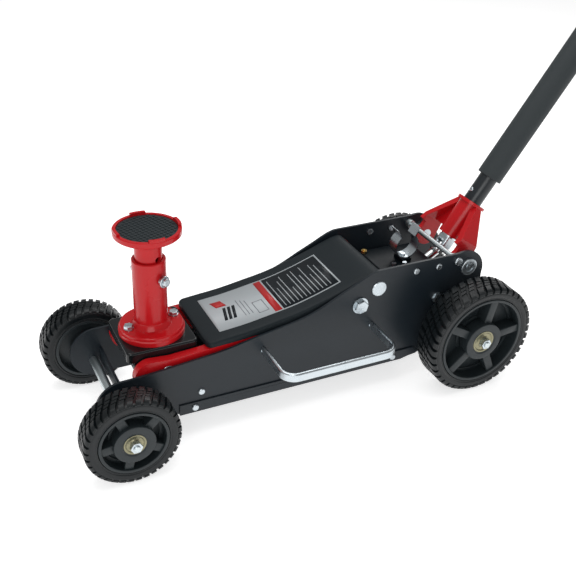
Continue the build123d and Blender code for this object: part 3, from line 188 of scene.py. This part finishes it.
FOAM = finish("foam_sleeve", (0.022, 0.029, 0.032), (0.032, 0.04, 0.043), rough=(0.55, 0.7),
              grain=2200, bump=0.5, depth=0.0003, gloss=0.4)
TUBE_BLACK = finish("handle_black_paint", (0.012, 0.016, 0.019), (0.016, 0.021, 0.025),
                    rough=(0.26, 0.34), grain=600, bump=0.1, gloss=0.45)
LABEL_SILVER = finish("label_silver", (0.4, 0.44, 0.46), (0.48, 0.52, 0.54), rough=(0.3, 0.4),
                      bump=0.03)
LABEL_RED = finish("label_red", (0.5, 0.02, 0.02), (0.45, 0.02, 0.02), rough=(0.3, 0.4),
                   bump=0.03, gloss=0.3)
LABEL_BLACK = finish("label_black", (0.006, 0.01, 0.013), (0.01, 0.014, 0.018),
                     rough=(0.3, 0.4), bump=0.03, gloss=0.2)
LABEL_GREY = finish("label_grey", (0.16, 0.18, 0.2), (0.2, 0.22, 0.24), rough=(0.35, 0.45),
                    bump=0.03)


# ---------------------------------------------------------------- piece helpers
def new_piece(name, mesh, material, smooth=40):
    """An object in the scene, shaded smooth up to an angle in degrees."""
    piece = bpy.data.objects.new(name, mesh)
    bpy.context.scene.collection.objects.link(piece)
    if material:
        mesh.materials.clear()
        mesh.materials.append(material)
    for polygon in mesh.polygons:
        polygon.use_smooth = True
    mesh.set_sharp_from_angle(angle=math.radians(smooth))
    return piece


def plain(piece):
    """Replaces a piece's mesh with what its modifiers make of it, and removes them."""
    bpy.context.view_layer.update()
    graph = bpy.context.evaluated_depsgraph_get()
    made = bpy.data.meshes.new_from_object(piece.evaluated_get(graph), depsgraph=graph)
    piece.modifiers.clear()
    piece.data = made


def keep(piece, body, slot, *nodes):
    """The piece rides on a body and stands for CAD nodes, which it hides; slot is not used."""
    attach(piece, body)
    if nodes:
        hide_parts(*nodes)


def mesh_from(name, work):
    """Turns a bmesh into a mesh, with its doubles merged and its faces outwards."""
    bmesh.ops.remove_doubles(work, verts=work.verts, dist=1e-7)
    bmesh.ops.recalc_face_normals(work, faces=work.faces)
    mesh = bpy.data.meshes.new(name)
    work.to_mesh(mesh)
    work.free()
    return mesh


def bevelled(piece, width, segments=2, angle=30):
    """Rounds a piece's sharp edges by a width in millimetres, its flat faces kept flat."""
    bevel = piece.modifiers.new("rounding", "BEVEL")
    bevel.width = width * MM
    bevel.segments = segments
    bevel.limit_method = "ANGLE"
    bevel.angle_limit = math.radians(angle)
    even = piece.modifiers.new("even_shading", "WEIGHTED_NORMAL")
    even.keep_sharp = True
    plain(piece)


SAME_POINT = 2e-6
FLAT_FOLD = 0.02
PAIR_SHAPE = 3.0
CURVE_FOLDS = (0.01, 0.6)
SHARP_EDGE = 34


def eased(node, material, width):
    """Stands for a CAD node with the same shape, its sharp edges rounded by a width.

    Faces with no curved neighbour are shaded flat.
    """
    work = bmesh.new()
    work.from_mesh(frame["nodes"][node].data)
    bmesh.ops.remove_doubles(work, verts=work.verts, dist=SAME_POINT)
    bmesh.ops.dissolve_degenerate(work, dist=SAME_POINT, edges=work.edges)
    bmesh.ops.join_triangles(
        work, faces=work.faces, angle_face_threshold=FLAT_FOLD, angle_shape_threshold=PAIR_SHAPE
    )
    curved = [
        any(CURVE_FOLDS[0] < edge.calc_face_angle(0) < CURVE_FOLDS[1] for edge in face.edges)
        for face in work.faces
    ]
    mesh = bpy.data.meshes.new(node)
    work.to_mesh(mesh)
    work.free()
    piece = new_piece(f"{node}_made", mesh, material, SHARP_EDGE)
    mesh.polygons.foreach_set("use_smooth", curved)
    if width:
        bevelled(piece, width, angle=SHARP_EDGE)
    keep(piece, BODY_OF[node], SLOT_OF[node], node)


SIDE_SHARE = 0.45


def rounded(points, radius, steps):
    """A closed outline whose corners are rounded where their sides have room."""
    out = []
    count = len(points)
    for i, corner in enumerate(points):
        here = Vector(corner)
        before = Vector(points[i - 1]) - here
        after = Vector(points[(i + 1) % count]) - here
        reach = min(radius, before.length * SIDE_SHARE, after.length * SIDE_SHARE)
        first = here + before.normalized() * reach
        last = here + after.normalized() * reach
        for k in range(steps + 1):
            t = k / steps
            out.append(first * (1 - t) ** 2 + here * 2 * t * (1 - t) + last * t ** 2)
    return out


def turned(work, outline, steps=96, closed=True):
    """Adds an outline of (radius, height), in millimetres, turned about Z.

    An open outline starts and ends on the axis, where its points become one.
    """
    rings = []
    for i in range(steps):
        angle = 2 * math.pi * i / steps
        rings.append([
            work.verts.new((r * MM * math.cos(angle), r * MM * math.sin(angle), h * MM))
            for r, h in outline
        ])
    size = len(outline)
    for i in range(steps):
        here, there = rings[i], rings[(i + 1) % steps]
        for k in range(size if closed else size - 1):
            work.faces.new((here[k], there[k], there[(k + 1) % size], here[(k + 1) % size]))


def soft_profile(points, radius):
    """An open outline whose inner corners are rounded."""
    steps = 3
    bent = rounded(points, radius, steps)
    return [points[0], *bent[steps + 1: -steps - 1], points[-1]]


def lug(work, profile, half_width, skew, lean):
    """Adds a tread lug: an outline of (radius, height) given a width round the wheel.

    skew moves its far end round the wheel, and lean narrows its crown.
    """
    heights = [h for _, h in profile]
    first, last = heights[0], heights[-1]
    top = max(r for r, _ in profile)
    foot = min(r for r, _ in profile)
    sides = []
    for way in (-1, 1):
        row = []
        for r, h in profile:
            half = half_width - lean * (r - foot) / (top - foot)
            turn = (way * half + skew * (h - first) / (last - first)) / top
            row.append(work.verts.new((r * MM * math.cos(turn), r * MM * math.sin(turn), h * MM)))
        sides.append(row)
    one, two = sides
    count = len(profile)
    for k in range(count):
        after = (k + 1) % count
        work.faces.new((one[k], one[after], two[after], two[k]))
    work.faces.new(one)
    work.faces.new(list(reversed(two)))


def block(work, low, high):
    """Adds a box between two corners, in millimetres."""
    corners = [
        work.verts.new((x * MM, y * MM, z * MM))
        for x in (low[0], high[0])
        for y, z in ((low[1], low[2]), (high[1], low[2]), (high[1], high[2]), (low[1], high[2]))
    ]
    for face in ((0, 1, 2, 3), (7, 6, 5, 4), (0, 4, 5, 1), (1, 5, 6, 2), (2, 6, 7, 3),
                 (3, 7, 4, 0)):
        work.faces.new([corners[i] for i in face])


# ---------------------------------------------------------------- repeats by geometry nodes
def item_tree(name, **inputs):
    """Geometry tree that takes an item, a material and further inputs of the given kinds."""
    tree = bpy.data.node_groups.new(name, "GeometryNodeTree")
    inputs = {"Item": "Object", **inputs, "Material": "Material"}
    for key, kind in inputs.items():
        tree.interface.new_socket(
            key.replace("_", " "), in_out="INPUT", socket_type=f"NodeSocket{kind}"
        )
    tree.interface.new_socket("Geometry", in_out="OUTPUT", socket_type="NodeSocketGeometry")
    return tree, tree.nodes.new("NodeGroupInput")


def put_item(tree, start, source, output):
    """Puts the item on points, realizes the copies, paints them and ends the tree."""
    item = tree.nodes.new("GeometryNodeObjectInfo")
    spread = tree.nodes.new("GeometryNodeInstanceOnPoints")
    realize = tree.nodes.new("GeometryNodeRealizeInstances")
    paint = tree.nodes.new("GeometryNodeSetMaterial")
    end = tree.nodes.new("NodeGroupOutput")
    join(tree, start, "Item", item, "Object")
    join(tree, source, output, spread, "Points")
    join(tree, item, "Geometry", spread, "Instance")
    join(tree, spread, 0, realize, 0)
    join(tree, realize, 0, paint, "Geometry")
    join(tree, start, "Material", paint, "Material")
    join(tree, paint, 0, end, "Geometry")
    return spread


def ring_tree():
    """Geometry tree: an item repeated round Z, realized, with one material."""
    tree, start = item_tree("items_in_a_ring", Count="Int", First_Angle="Float")
    line = tree.nodes.new("GeometryNodeMeshLine")
    line.inputs["Offset"].default_value = (0, 0, 0)
    index = tree.nodes.new("GeometryNodeInputIndex")
    share = add_node(tree, "ShaderNodeMath", operation="DIVIDE")
    angle = add_node(tree, "ShaderNodeMath", operation="MULTIPLY_ADD")
    angle.inputs[1].default_value = 2 * math.pi
    vector = tree.nodes.new("ShaderNodeCombineXYZ")
    turn = tree.nodes.new("FunctionNodeEulerToRotation")
    join(tree, start, "Count", line, "Count")
    join(tree, index, 0, share, 0)
    join(tree, start, "Count", share, 1)
    join(tree, share, 0, angle, 0)
    join(tree, start, "First Angle", angle, 2)
    join(tree, angle, 0, vector, "Z")
    join(tree, vector, 0, turn, 0)
    spread = put_item(tree, start, line, "Mesh")
    join(tree, turn, 0, spread, "Rotation")
    return tree


def knob_tree():
    """Geometry tree: an item repeated in rows over a disc, realized, with one material."""
    tree, start = item_tree("knobs_on_a_disc", Across="Int", Side="Float", Radius="Float")
    grid = tree.nodes.new("GeometryNodeMeshGrid")
    where = tree.nodes.new("GeometryNodeInputPosition")
    length = add_node(tree, "ShaderNodeVectorMath", operation="LENGTH")
    beyond = add_node(tree, "ShaderNodeMath", operation="GREATER_THAN")
    trim = tree.nodes.new("GeometryNodeDeleteGeometry")
    for name in ("Size X", "Size Y"):
        join(tree, start, "Side", grid, name)
    for name in ("Vertices X", "Vertices Y"):
        join(tree, start, "Across", grid, name)
    join(tree, where, 0, length, 0)
    join(tree, length, "Value", beyond, 0)
    join(tree, start, "Radius", beyond, 1)
    join(tree, grid, "Mesh", trim, "Geometry")
    join(tree, beyond, 0, trim, "Selection")
    put_item(tree, start, trim, 0)
    return tree


RING = ring_tree()
KNOBS = knob_tree()


def repeated(name, tree, item_mesh, **values):
    """The mesh that a geometry tree makes from an item and its named inputs."""
    item = bpy.data.objects.new("item", item_mesh)
    bpy.context.scene.collection.objects.link(item)
    holder = bpy.data.objects.new(name, bpy.data.meshes.new(name))
    bpy.context.scene.collection.objects.link(holder)
    modifier = holder.modifiers.new("repeat", "NODES")
    modifier.node_group = tree
    sockets = {s.name: s.identifier for s in tree.interface.items_tree if s.in_out == "INPUT"}
    modifier[sockets["Item"]] = item
    for key, value in values.items():
        modifier[sockets[key.replace("_", " ")]] = value
    plain(holder)
    mesh = holder.data
    bpy.data.objects.remove(holder)
    bpy.data.objects.remove(item)
    return mesh


def merged(name, meshes, matrix=None):
    """One mesh made of several, placed by a matrix."""
    work = bmesh.new()
    for mesh in meshes:
        work.from_mesh(mesh)
    if matrix:
        bmesh.ops.transform(work, matrix=matrix, verts=work.verts)
    mesh = bpy.data.meshes.new(name)
    work.to_mesh(mesh)
    work.free()
    return mesh


# ---------------------------------------------------------------- wheels
LUG_HEIGHT = 0.058
LUG_HALF = 0.36
LUG_SLANT = 0.42
SHOULDER_LEAN = 0.06
MIDDLE_LEAN = 0.04
SPOKES = 5
SPOKE_HALF = 8.5


def tyre_mesh(tread, bead, width, lugs):
    """A chunky tyre about Z, its inner face at 0: smooth sides, a round shoulder, slanted lugs.

    Lug sizes are shares of the tread radius or of the pitch between lugs.
    """
    lug_h = tread * LUG_HEIGHT
    body_r = tread - lug_h
    half = [(bead, 5.0), (bead + 0.6, 2.6), (bead + 3, 1.8), (bead + 4, 2.4), (bead + 5.2, 1.6),
            (bead + 6, 1.2), (body_r - 6, 0.8), (body_r - 1.5, 2.4), (body_r, 7.0)]
    other = [(r, width - h) for r, h in reversed(half)]
    work = bmesh.new()
    turned(work, rounded([*half, *other], 1.6, 3), steps=120)
    meshes = [mesh_from("tyre_body", work)]
    pitch = 2 * math.pi * tread / lugs
    root = body_r - 3
    shoulder = [(root, 1.4), (body_r - 1.2, 0.6), (tread - 3.2, 1.8), (tread - 0.8, 5.0),
                (tread, 9.0), (tread - 0.2, width * 0.34), (root, width * 0.35)]
    middle = [(root, width * 0.37), (tread - 0.5, width * 0.38), (tread - 0.4, width * 0.485),
              (root, width * 0.49)]
    for side in (0, 1):
        outlines = [shoulder, middle]
        if side:
            outlines = [[(r, width - h) for r, h in outline] for outline in outlines]
        slant = pitch * (-LUG_SLANT if side else LUG_SLANT)
        outer = bmesh.new()
        lug(outer, outlines[0], pitch * LUG_HALF, slant, pitch * SHOULDER_LEAN)
        inner = bmesh.new()
        lug(inner, outlines[1], pitch * LUG_HALF, slant / 2, pitch * MIDDLE_LEAN)
        bmesh.ops.rotate(inner, verts=inner.verts, cent=(0, 0, 0),
                         matrix=Matrix.Rotation(math.pi / lugs, 3, "Z"))
        for work in (outer, inner):
            meshes.append(repeated(
                "lugs", RING, mesh_from("lug", work), Count=lugs,
                First_Angle=math.pi / lugs * side, Material=TYRE,
            ))
    return merged("tyre", meshes)


def rim_mesh(opening, bead, hub, bearing, bearing_w, shaft, width):
    """A five-spoke moulded rim about Z, its inner face at 0 and one spoke along X."""
    steps = 120
    outer = bead - 0.1
    inside = opening + 3
    proud = width + 2.5
    recess = proud - 1.4
    web = width * 0.45
    web_half = 2.5
    ledge = web + 6
    gap = shaft + 3
    seat = proud - bearing_w - 1
    work = bmesh.new()
    turned(work, rounded([(opening, 2), (outer, 2), (outer, width - 1.2),
                          (opening + 1, width - 1.2), (opening, width - 2.4)], 1.0, 3), steps)
    turned(work, rounded([(hub - 10, web - web_half), (inside, web - web_half),
                          (inside, web + web_half), (hub - 10, web + web_half)], 0.8, 2), steps)
    turned(work, rounded([
        (bearing, 0), (hub - 8, 0), (hub - 7, web), (hub, width - 22), (hub, proud),
        (bearing + 3.5, proud), (bearing + 2, recess), (bearing, recess), (bearing, seat),
        (gap, seat), (gap, bearing_w), (bearing, bearing_w),
    ], 1.4, 3), steps)
    # stepped ledges round both sides of the cavity's floor
    for near, far in ((opening - 6, inside), (hub - 4, hub + 4)):
        turned(work, rounded([(near, web), (far, web), (far, ledge), (near, ledge)], 1.2, 2))
    body = mesh_from("rim_body", work)
    work = bmesh.new()
    block(work, (hub - 3, -SPOKE_HALF, web), (inside, SPOKE_HALF, width - 4.5))
    holder = new_piece("spoke_item", mesh_from("spoke", work), RIM)
    bevelled(holder, 1.8, 3)
    spoke = holder.data
    bpy.data.objects.remove(holder)
    spokes = repeated("spokes", RING, spoke, Count=SPOKES, First_Angle=0.0, Material=RIM)
    return merged("rim", [body, spokes])


def wheels():
    """Four tyres and rims, made once for each size and turned to each corner."""
    for end, tread, opening, hub, bearing, bearing_w, shaft, lugs, turn in (
        ("front", 86.0, 56.3, 36.9, 20.0, 12.0, 8.5, 36, -102),
        ("rear", 116.0, 85.9, 39.7, 23.5, 14.0, 10.0, 40, 78),
    ):
        low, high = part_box(f"tyre_{end}_left")
        width = (high.y - low.y) / MM
        tyre = tyre_mesh(tread, opening + 6, width, lugs)
        rim = rim_mesh(opening, opening + 6, hub, bearing, bearing_w, shaft, width)
        for hand, sign in (("left", -1), ("right", 1)):
            low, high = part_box(f"tyre_{end}_{hand}")
            inner = low.y if sign > 0 else high.y
            centre = Vector(((low.x + high.x) / 2, inner, (low.z + high.z) / 2))
            axes = Matrix(((1, 0, 0), (0, 0, sign), (0, -sign, 0))).to_4x4()
            spin = Matrix.Rotation(math.radians(-sign * turn), 4, "Z")
            matrix = Matrix.Translation(centre) @ axes @ spin
            name = f"{end}_{hand}"
            piece = new_piece(f"tyre_tread_{name}", merged("tyre", [tyre], matrix), TYRE, 30)
            keep(piece, f"wheel_{name}", "tyre_rubber", f"tyre_{name}")
            piece = new_piece(f"rim_spoked_{name}", merged("rim", [rim], matrix), RIM, 34)
            keep(piece, f"wheel_{name}", "rim_plastic", f"rim_{name}")


# ---------------------------------------------------------------- arm cover and its label
COVER_TOP = [(168, 184), (172, 185.2), (200, 188.2), (250, 193), (300, 201), (350, 210),
             (400, 224), (446, 240), (480, 253), (500, 259.5), (512, 260.4), (519, 257.5)]
COVER_HALF = 83.5
COVER_SHEET = 1.3
SKIRT_DROP = 9.0
WALL_LEAN = 0.5
ARC_STEPS = 5
DROP_FROM = (255.0, 330.0)
ARM_EDGE = [(168, 175.4), (253, 180.6), (300, 190.6), (350, 200.6), (400, 214.6), (446, 231),
            (480, 245.5), (512, 254), (519, 254)]


def height_along(points, x):
    """Height of a smooth curve through points at x, by cubic pieces."""
    for i in range(len(points) - 1):
        if x <= points[i + 1][0] or i == len(points) - 2:
            break
    x0, z0 = points[i]
    x1, z1 = points[i + 1]
    slopes = []
    for k in (i, i + 1):
        before = points[max(k - 1, 0)]
        after = points[min(k + 1, len(points) - 1)]
        slopes.append((after[1] - before[1]) / (after[0] - before[0]))
    span = x1 - x0
    t = min(max((x - x0) / span, 0), 1)
    return (z0 * (1 + 2 * t) * (1 - t) ** 2 + slopes[0] * span * t * (1 - t) ** 2
            + z1 * t * t * (3 - 2 * t) + slopes[1] * span * t * t * (t - 1))


def cover():
    """A pressed lid: crowned shoulders, rounded front corners, skirts that stand on the arm."""
    shoulder = 5.0
    corner = 12.0
    first, last = COVER_TOP[0][0], COVER_TOP[-1][0]
    stations = sorted({first + i * (last - first) / 90 for i in range(91)}
                      | {first + corner * (1 - math.cos(i * math.pi / 16)) for i in range(9)})
    work = bmesh.new()
    rows = []
    for x in stations:
        ahead = max(corner - (x - first), 0)
        half = COVER_HALF - corner + math.sqrt(max(corner ** 2 - ahead ** 2, 0))
        top = height_along(COVER_TOP, x)
        share = min(max((x - DROP_FROM[0]) / (DROP_FROM[1] - DROP_FROM[0]), 0), 1)
        foot = min(height_along(ARM_EDGE, x), top - 1) - SKIRT_DROP * share
        section = [(half, foot)]
        for k in range(ARC_STEPS + 1):
            turn = math.pi / 2 * k / ARC_STEPS
            section.append((half - shoulder + shoulder * math.cos(turn),
                            max(top - shoulder + shoulder * math.sin(turn), foot + 0.2)))
        section += [((half - shoulder) * (1 - j / ARC_STEPS), top)
                    for j in range(1, ARC_STEPS + 1)]
        section += [(-y, z) for y, z in reversed(section[:-1])]
        rows.append([work.verts.new(place(x, y, z)) for y, z in section])
    for here, there in zip(rows, rows[1:]):
        for k in range(len(here) - 1):
            work.faces.new((here[k], there[k], there[k + 1], here[k + 1]))
    # turned-down front wall
    bottom = place(0, 0, ARM_EDGE[0][1]).z
    wall = [work.verts.new((v.co.x - WALL_LEAN * MM, v.co.y, bottom)) for v in rows[0]]
    for k in range(len(wall) - 1):
        work.faces.new((wall[k], rows[0][k], rows[0][k + 1], wall[k + 1]))
    bmesh.ops.remove_doubles(work, verts=work.verts, dist=1e-5)
    bmesh.ops.recalc_face_normals(work, faces=work.faces)
    mesh = bpy.data.meshes.new("arm_cover_pressed")
    work.to_mesh(mesh)
    work.free()
    up = sum(1 if p.normal.z > 0 else -1 for p in mesh.polygons)
    if up < 0:
        mesh.flip_normals()
    piece = new_piece("arm_cover_pressed", mesh, COVER_BLACK, 50)
    sheet = piece.modifiers.new("sheet", "SOLIDIFY")
    sheet.thickness = COVER_SHEET * MM
    sheet.offset = -1
    plain(piece)
    piece.data.set_sharp_from_angle(angle=math.radians(50))
    keep(piece, "lift_arm", "black_paint", "arm_cover")


LINE_REACH = (46, 30, 40, 46, 22, 44, 46, 34, 46, 28, 42, 38)
FILM = 0.12


def label_patch(name, corners, lift, shear):
    """A thin printed patch that follows the cover: x and y ranges, height over it, slant."""
    x0, x1, y0, y1 = corners
    steps = max(int((x1 - x0) / 6), 1)
    work = bmesh.new()
    rows = []
    for i in range(steps + 1):
        row = []
        for k in range(2):
            y = y0 + (y1 - y0) * k
            x = x0 + (x1 - x0) * i / steps + shear * (y - y0)
            row.append(work.verts.new(place(x, y, height_along(COVER_TOP, x) + lift)))
        rows.append(row)
    for here, there in zip(rows, rows[1:]):
        work.faces.new((here[0], there[0], there[1], here[1]))
    bmesh.ops.recalc_face_normals(work, faces=work.faces)
    mesh = bpy.data.meshes.new(name)
    work.to_mesh(mesh)
    work.free()
    if mesh.polygons[0].normal.z < 0:
        mesh.flip_normals()
    return mesh


def label():
    """A generic label: silver panel with plain bars, a red band and a dark field with lines."""
    half = 57.5
    sheets = [
        ("label_base", LABEL_SILVER, [((200, 446, -half, half), 0.15, 0)]),
        ("label_field", LABEL_BLACK, [((330, 443, -half + 3, half - 3), 0.3, 0)]),
        ("label_band", LABEL_RED, [((313, 327, -half + 3, half - 3), 0.3, 0)]),
    ]
    bars = [((222 + 9 * i, 228 + 9 * i, -30, 10), 0.3, 0.25) for i in range(3)]
    sheets.append(("label_bars", LABEL_BLACK, bars))
    sheets.append(("label_slash", LABEL_RED, [((222, 243, 16, 36), 0.3, -0.3)]))
    greys = [((262 + 7 * i, 263.4 + 7 * i, -34, 22 - 5 * i), 0.3, 0) for i in range(3)]
    greys += [((286, 287.5, -40, -4), 0.3, 0), ((305, 306.5, -40, -4), 0.3, 0),
              ((286, 306.5, -41.5, -40), 0.3, 0), ((286, 306.5, -4, -2.5), 0.3, 0)]
    sheets.append(("label_rules", LABEL_GREY, greys))
    lines = []
    for i, reach in enumerate(LINE_REACH):
        x = 337 + i * 8.4
        lines.append(((x, x + 1.5, -48, -48 + 2 * reach), 0.42, 0))
    sheets.append(("label_lines", LABEL_SILVER, lines))
    for name, material, patches in sheets:
        meshes = [label_patch(name, *patch) for patch in patches]
        piece = new_piece(name, merged(name, meshes), material)
        sheet = piece.modifiers.new("film", "SOLIDIFY")
        sheet.thickness = FILM * MM
        sheet.offset = -1
        plain(piece)
        keep(piece, "lift_arm", "black_paint")


# ---------------------------------------------------------------- saddle pad
def saddle_pad():
    """A rubber disc covered with small raised knobs."""
    low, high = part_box("saddle_pad")
    radius = (high.x - low.x) / 2 / MM
    height = (high.z - low.z) / MM
    work = bmesh.new()
    edge = [(0, 0), (radius, 0), (radius, height - 1.6), (0, height - 1.6)]
    turned(work, soft_profile(edge, 1.0), 96, closed=False)
    base = mesh_from("pad_base", work)
    work = bmesh.new()
    knob = [(0, height - 2.2), (2.9, height - 2.2), (2.2, height - 0.3), (0, height - 0.1)]
    turned(work, knob, 8, closed=False)
    knobs = repeated("knobs", KNOBS, mesh_from("knob", work), Across=15, Side=105 * MM,
                     Radius=(radius - 3.5) * MM, Material=PAD)
    centre = Vector(((low.x + high.x) / 2, (low.y + high.y) / 2, low.z))
    matrix = Matrix.Translation(centre) @ Matrix.Rotation(math.radians(20), 4, "Z")
    piece = new_piece("saddle_pad_knobbed", merged("pad", [base, knobs], matrix), PAD, 40)
    keep(piece, "saddle", "pad_rubber", "saddle_pad")


# ---------------------------------------------------------------- CAD nodes with rounded edges
def hard_parts():
    """Every other CAD node, with its edges rounded and its own finish."""
    finishes = [
        (BLACK, 0, ["side_plate_left", "side_plate_right"]),
        (BLACK, 0.7, ["skid_plate", "front_tie_bar"]),
        # painted shade: the parts inside the frame take a darker, duller copy of the black paint
        (PAINTED_SHADE_BLACK, 1.2, ["pump_block", "oil_tank", "ram_cylinder"]),
        (CASTING, 4.0, ["saddle_head"]),
        (RED, 0.8, ["lift_arm", "extension_sleeve", "extension_tube", "saddle_cup"]),
        (RED, 1.6, ["handle_socket"]),
        (ZINC, 0.5, ["frame_screws", "frame_nuts", "axle_nuts", "arm_pivot_shaft",
                     "link_anchor_shaft", "link_anchor_bolts", "handle_pivot_pins",
                     "power_unit_bolts", "flange_bolts", "locking_pin", "joint_fork",
                     "handle_button", "head_pin", "ram_pin", "link_pin", "pump_roller",
                     "carry_handle_left"]),
        (ZINC, 0.3, ["storage_clip", "levelling_links", "pin_clip"]),
        (DULL_ZINC, 0.4, ["front_axle", "rear_axle", "axle_spacers", "rear_tie_bar"]),
        (POLISHED, 0.4, ["ram_rod", "valve_shaft", "pump_plunger"]),
        (BRASS, 0.4, ["filler_plug"]),
        (YELLOW_ZINC, 0.4, [f"bearing_{end}_{hand}" for end in ("front", "rear")
                            for hand in ("left", "right")]),
        (TUBE_BLACK, 0.4, ["handle_lower_tube", "handle_upper_tube"]),
        (FOAM, 0.6, ["handle_sleeve", "handle_grip"]),
    ]
    for material, width, nodes in finishes:
        for node in nodes:
            eased(node, material, width)


# ---------------------------------------------------------------- floor, lights and camera
FLOOR_HALF = 12
ROOM_LIGHT = 0.32
CAMERA_AT = (-294.8, -1305.8, 1083.4)
CAMERA_RIGHT = (0.9022, -0.4295, 0.0381)
CAMERA_FORWARD = (0.3868, 0.7672, -0.5116)
CAMERA_LENS = 55.5


def stage():
    """Plain pale floor."""
    work = bmesh.new()
    bmesh.ops.create_grid(work, x_segments=1, y_segments=1, size=FLOOR_HALF)
    mesh = bpy.data.meshes.new("floor")
    work.to_mesh(mesh)
    work.free()
    floor = new_piece("floor", mesh, None)
    material = bpy.data.materials.new("white_floor")
    material.use_nodes = True
    shader = material.node_tree.nodes["Principled BSDF"]
    shader.inputs["Base Color"].default_value = (0.93, 0.93, 0.93, 1)
    shader.inputs["Roughness"].default_value = 0.9
    shader.inputs["Specular IOR Level"].default_value = 0.1
    shader.inputs["Emission Color"].default_value = (1, 1, 1, 1)
    shader.inputs["Emission Strength"].default_value = 0.62
    mesh.materials.append(material)


def lamp(name, spot, target, size, power):
    """A rectangular soft light aimed at a point."""
    light = bpy.data.lights.new(name, "AREA")
    light.shape = "RECTANGLE"
    light.size = size[0]
    light.size_y = size[1]
    light.energy = power
    holder = bpy.data.objects.new(name, light)
    holder.location = spot
    aim = Vector(target) - Vector(spot)
    holder.rotation_euler = aim.to_track_quat("-Z", "Y").to_euler()
    bpy.context.scene.collection.objects.link(holder)


def lights():
    """A bright room, a large overhead light and softer ones in front and to the side."""
    world = bpy.data.worlds.new("studio")
    bpy.context.scene.world = world
    world.use_nodes = True
    room = world.node_tree.nodes["Background"]
    room.inputs["Color"].default_value = (1, 1, 1, 1)
    room.inputs["Strength"].default_value = ROOM_LIGHT
    centre = place(380, 0, 180)
    lamp("overhead", centre + Vector((-0.2, 0.3, 2.2)), centre, (2.4, 1.8), 26)
    lamp("front_left", centre + Vector((-1.2, -2.2, 1.3)), centre, (1.6, 1.2), 17)
    lamp("rear_right", centre + Vector((1.6, 1.6, 1.8)), centre, (1.2, 1.2), 14)


def camera():
    """A camera in front of the jack's left side, looking down at it."""
    right = Vector(CAMERA_RIGHT).normalized()
    forward = Vector(CAMERA_FORWARD).normalized()
    up = right.cross(forward).normalized()
    right = forward.cross(up)
    data = bpy.data.cameras.new("camera")
    data.lens = CAMERA_LENS
    data.sensor_width = 36.0
    data.clip_end = 50
    holder = bpy.data.objects.new("camera", data)
    axes = Matrix((right, up, -forward)).transposed().to_4x4()
    holder.matrix_world = Matrix.Translation(place(*CAMERA_AT)) @ axes
    bpy.context.scene.collection.objects.link(holder)
    bpy.context.scene.camera = holder


bpy.context.scene.view_settings.view_transform = "Standard"
wheels()
cover()
label()
saddle_pad()
hard_parts()
stage()
lights()
camera()
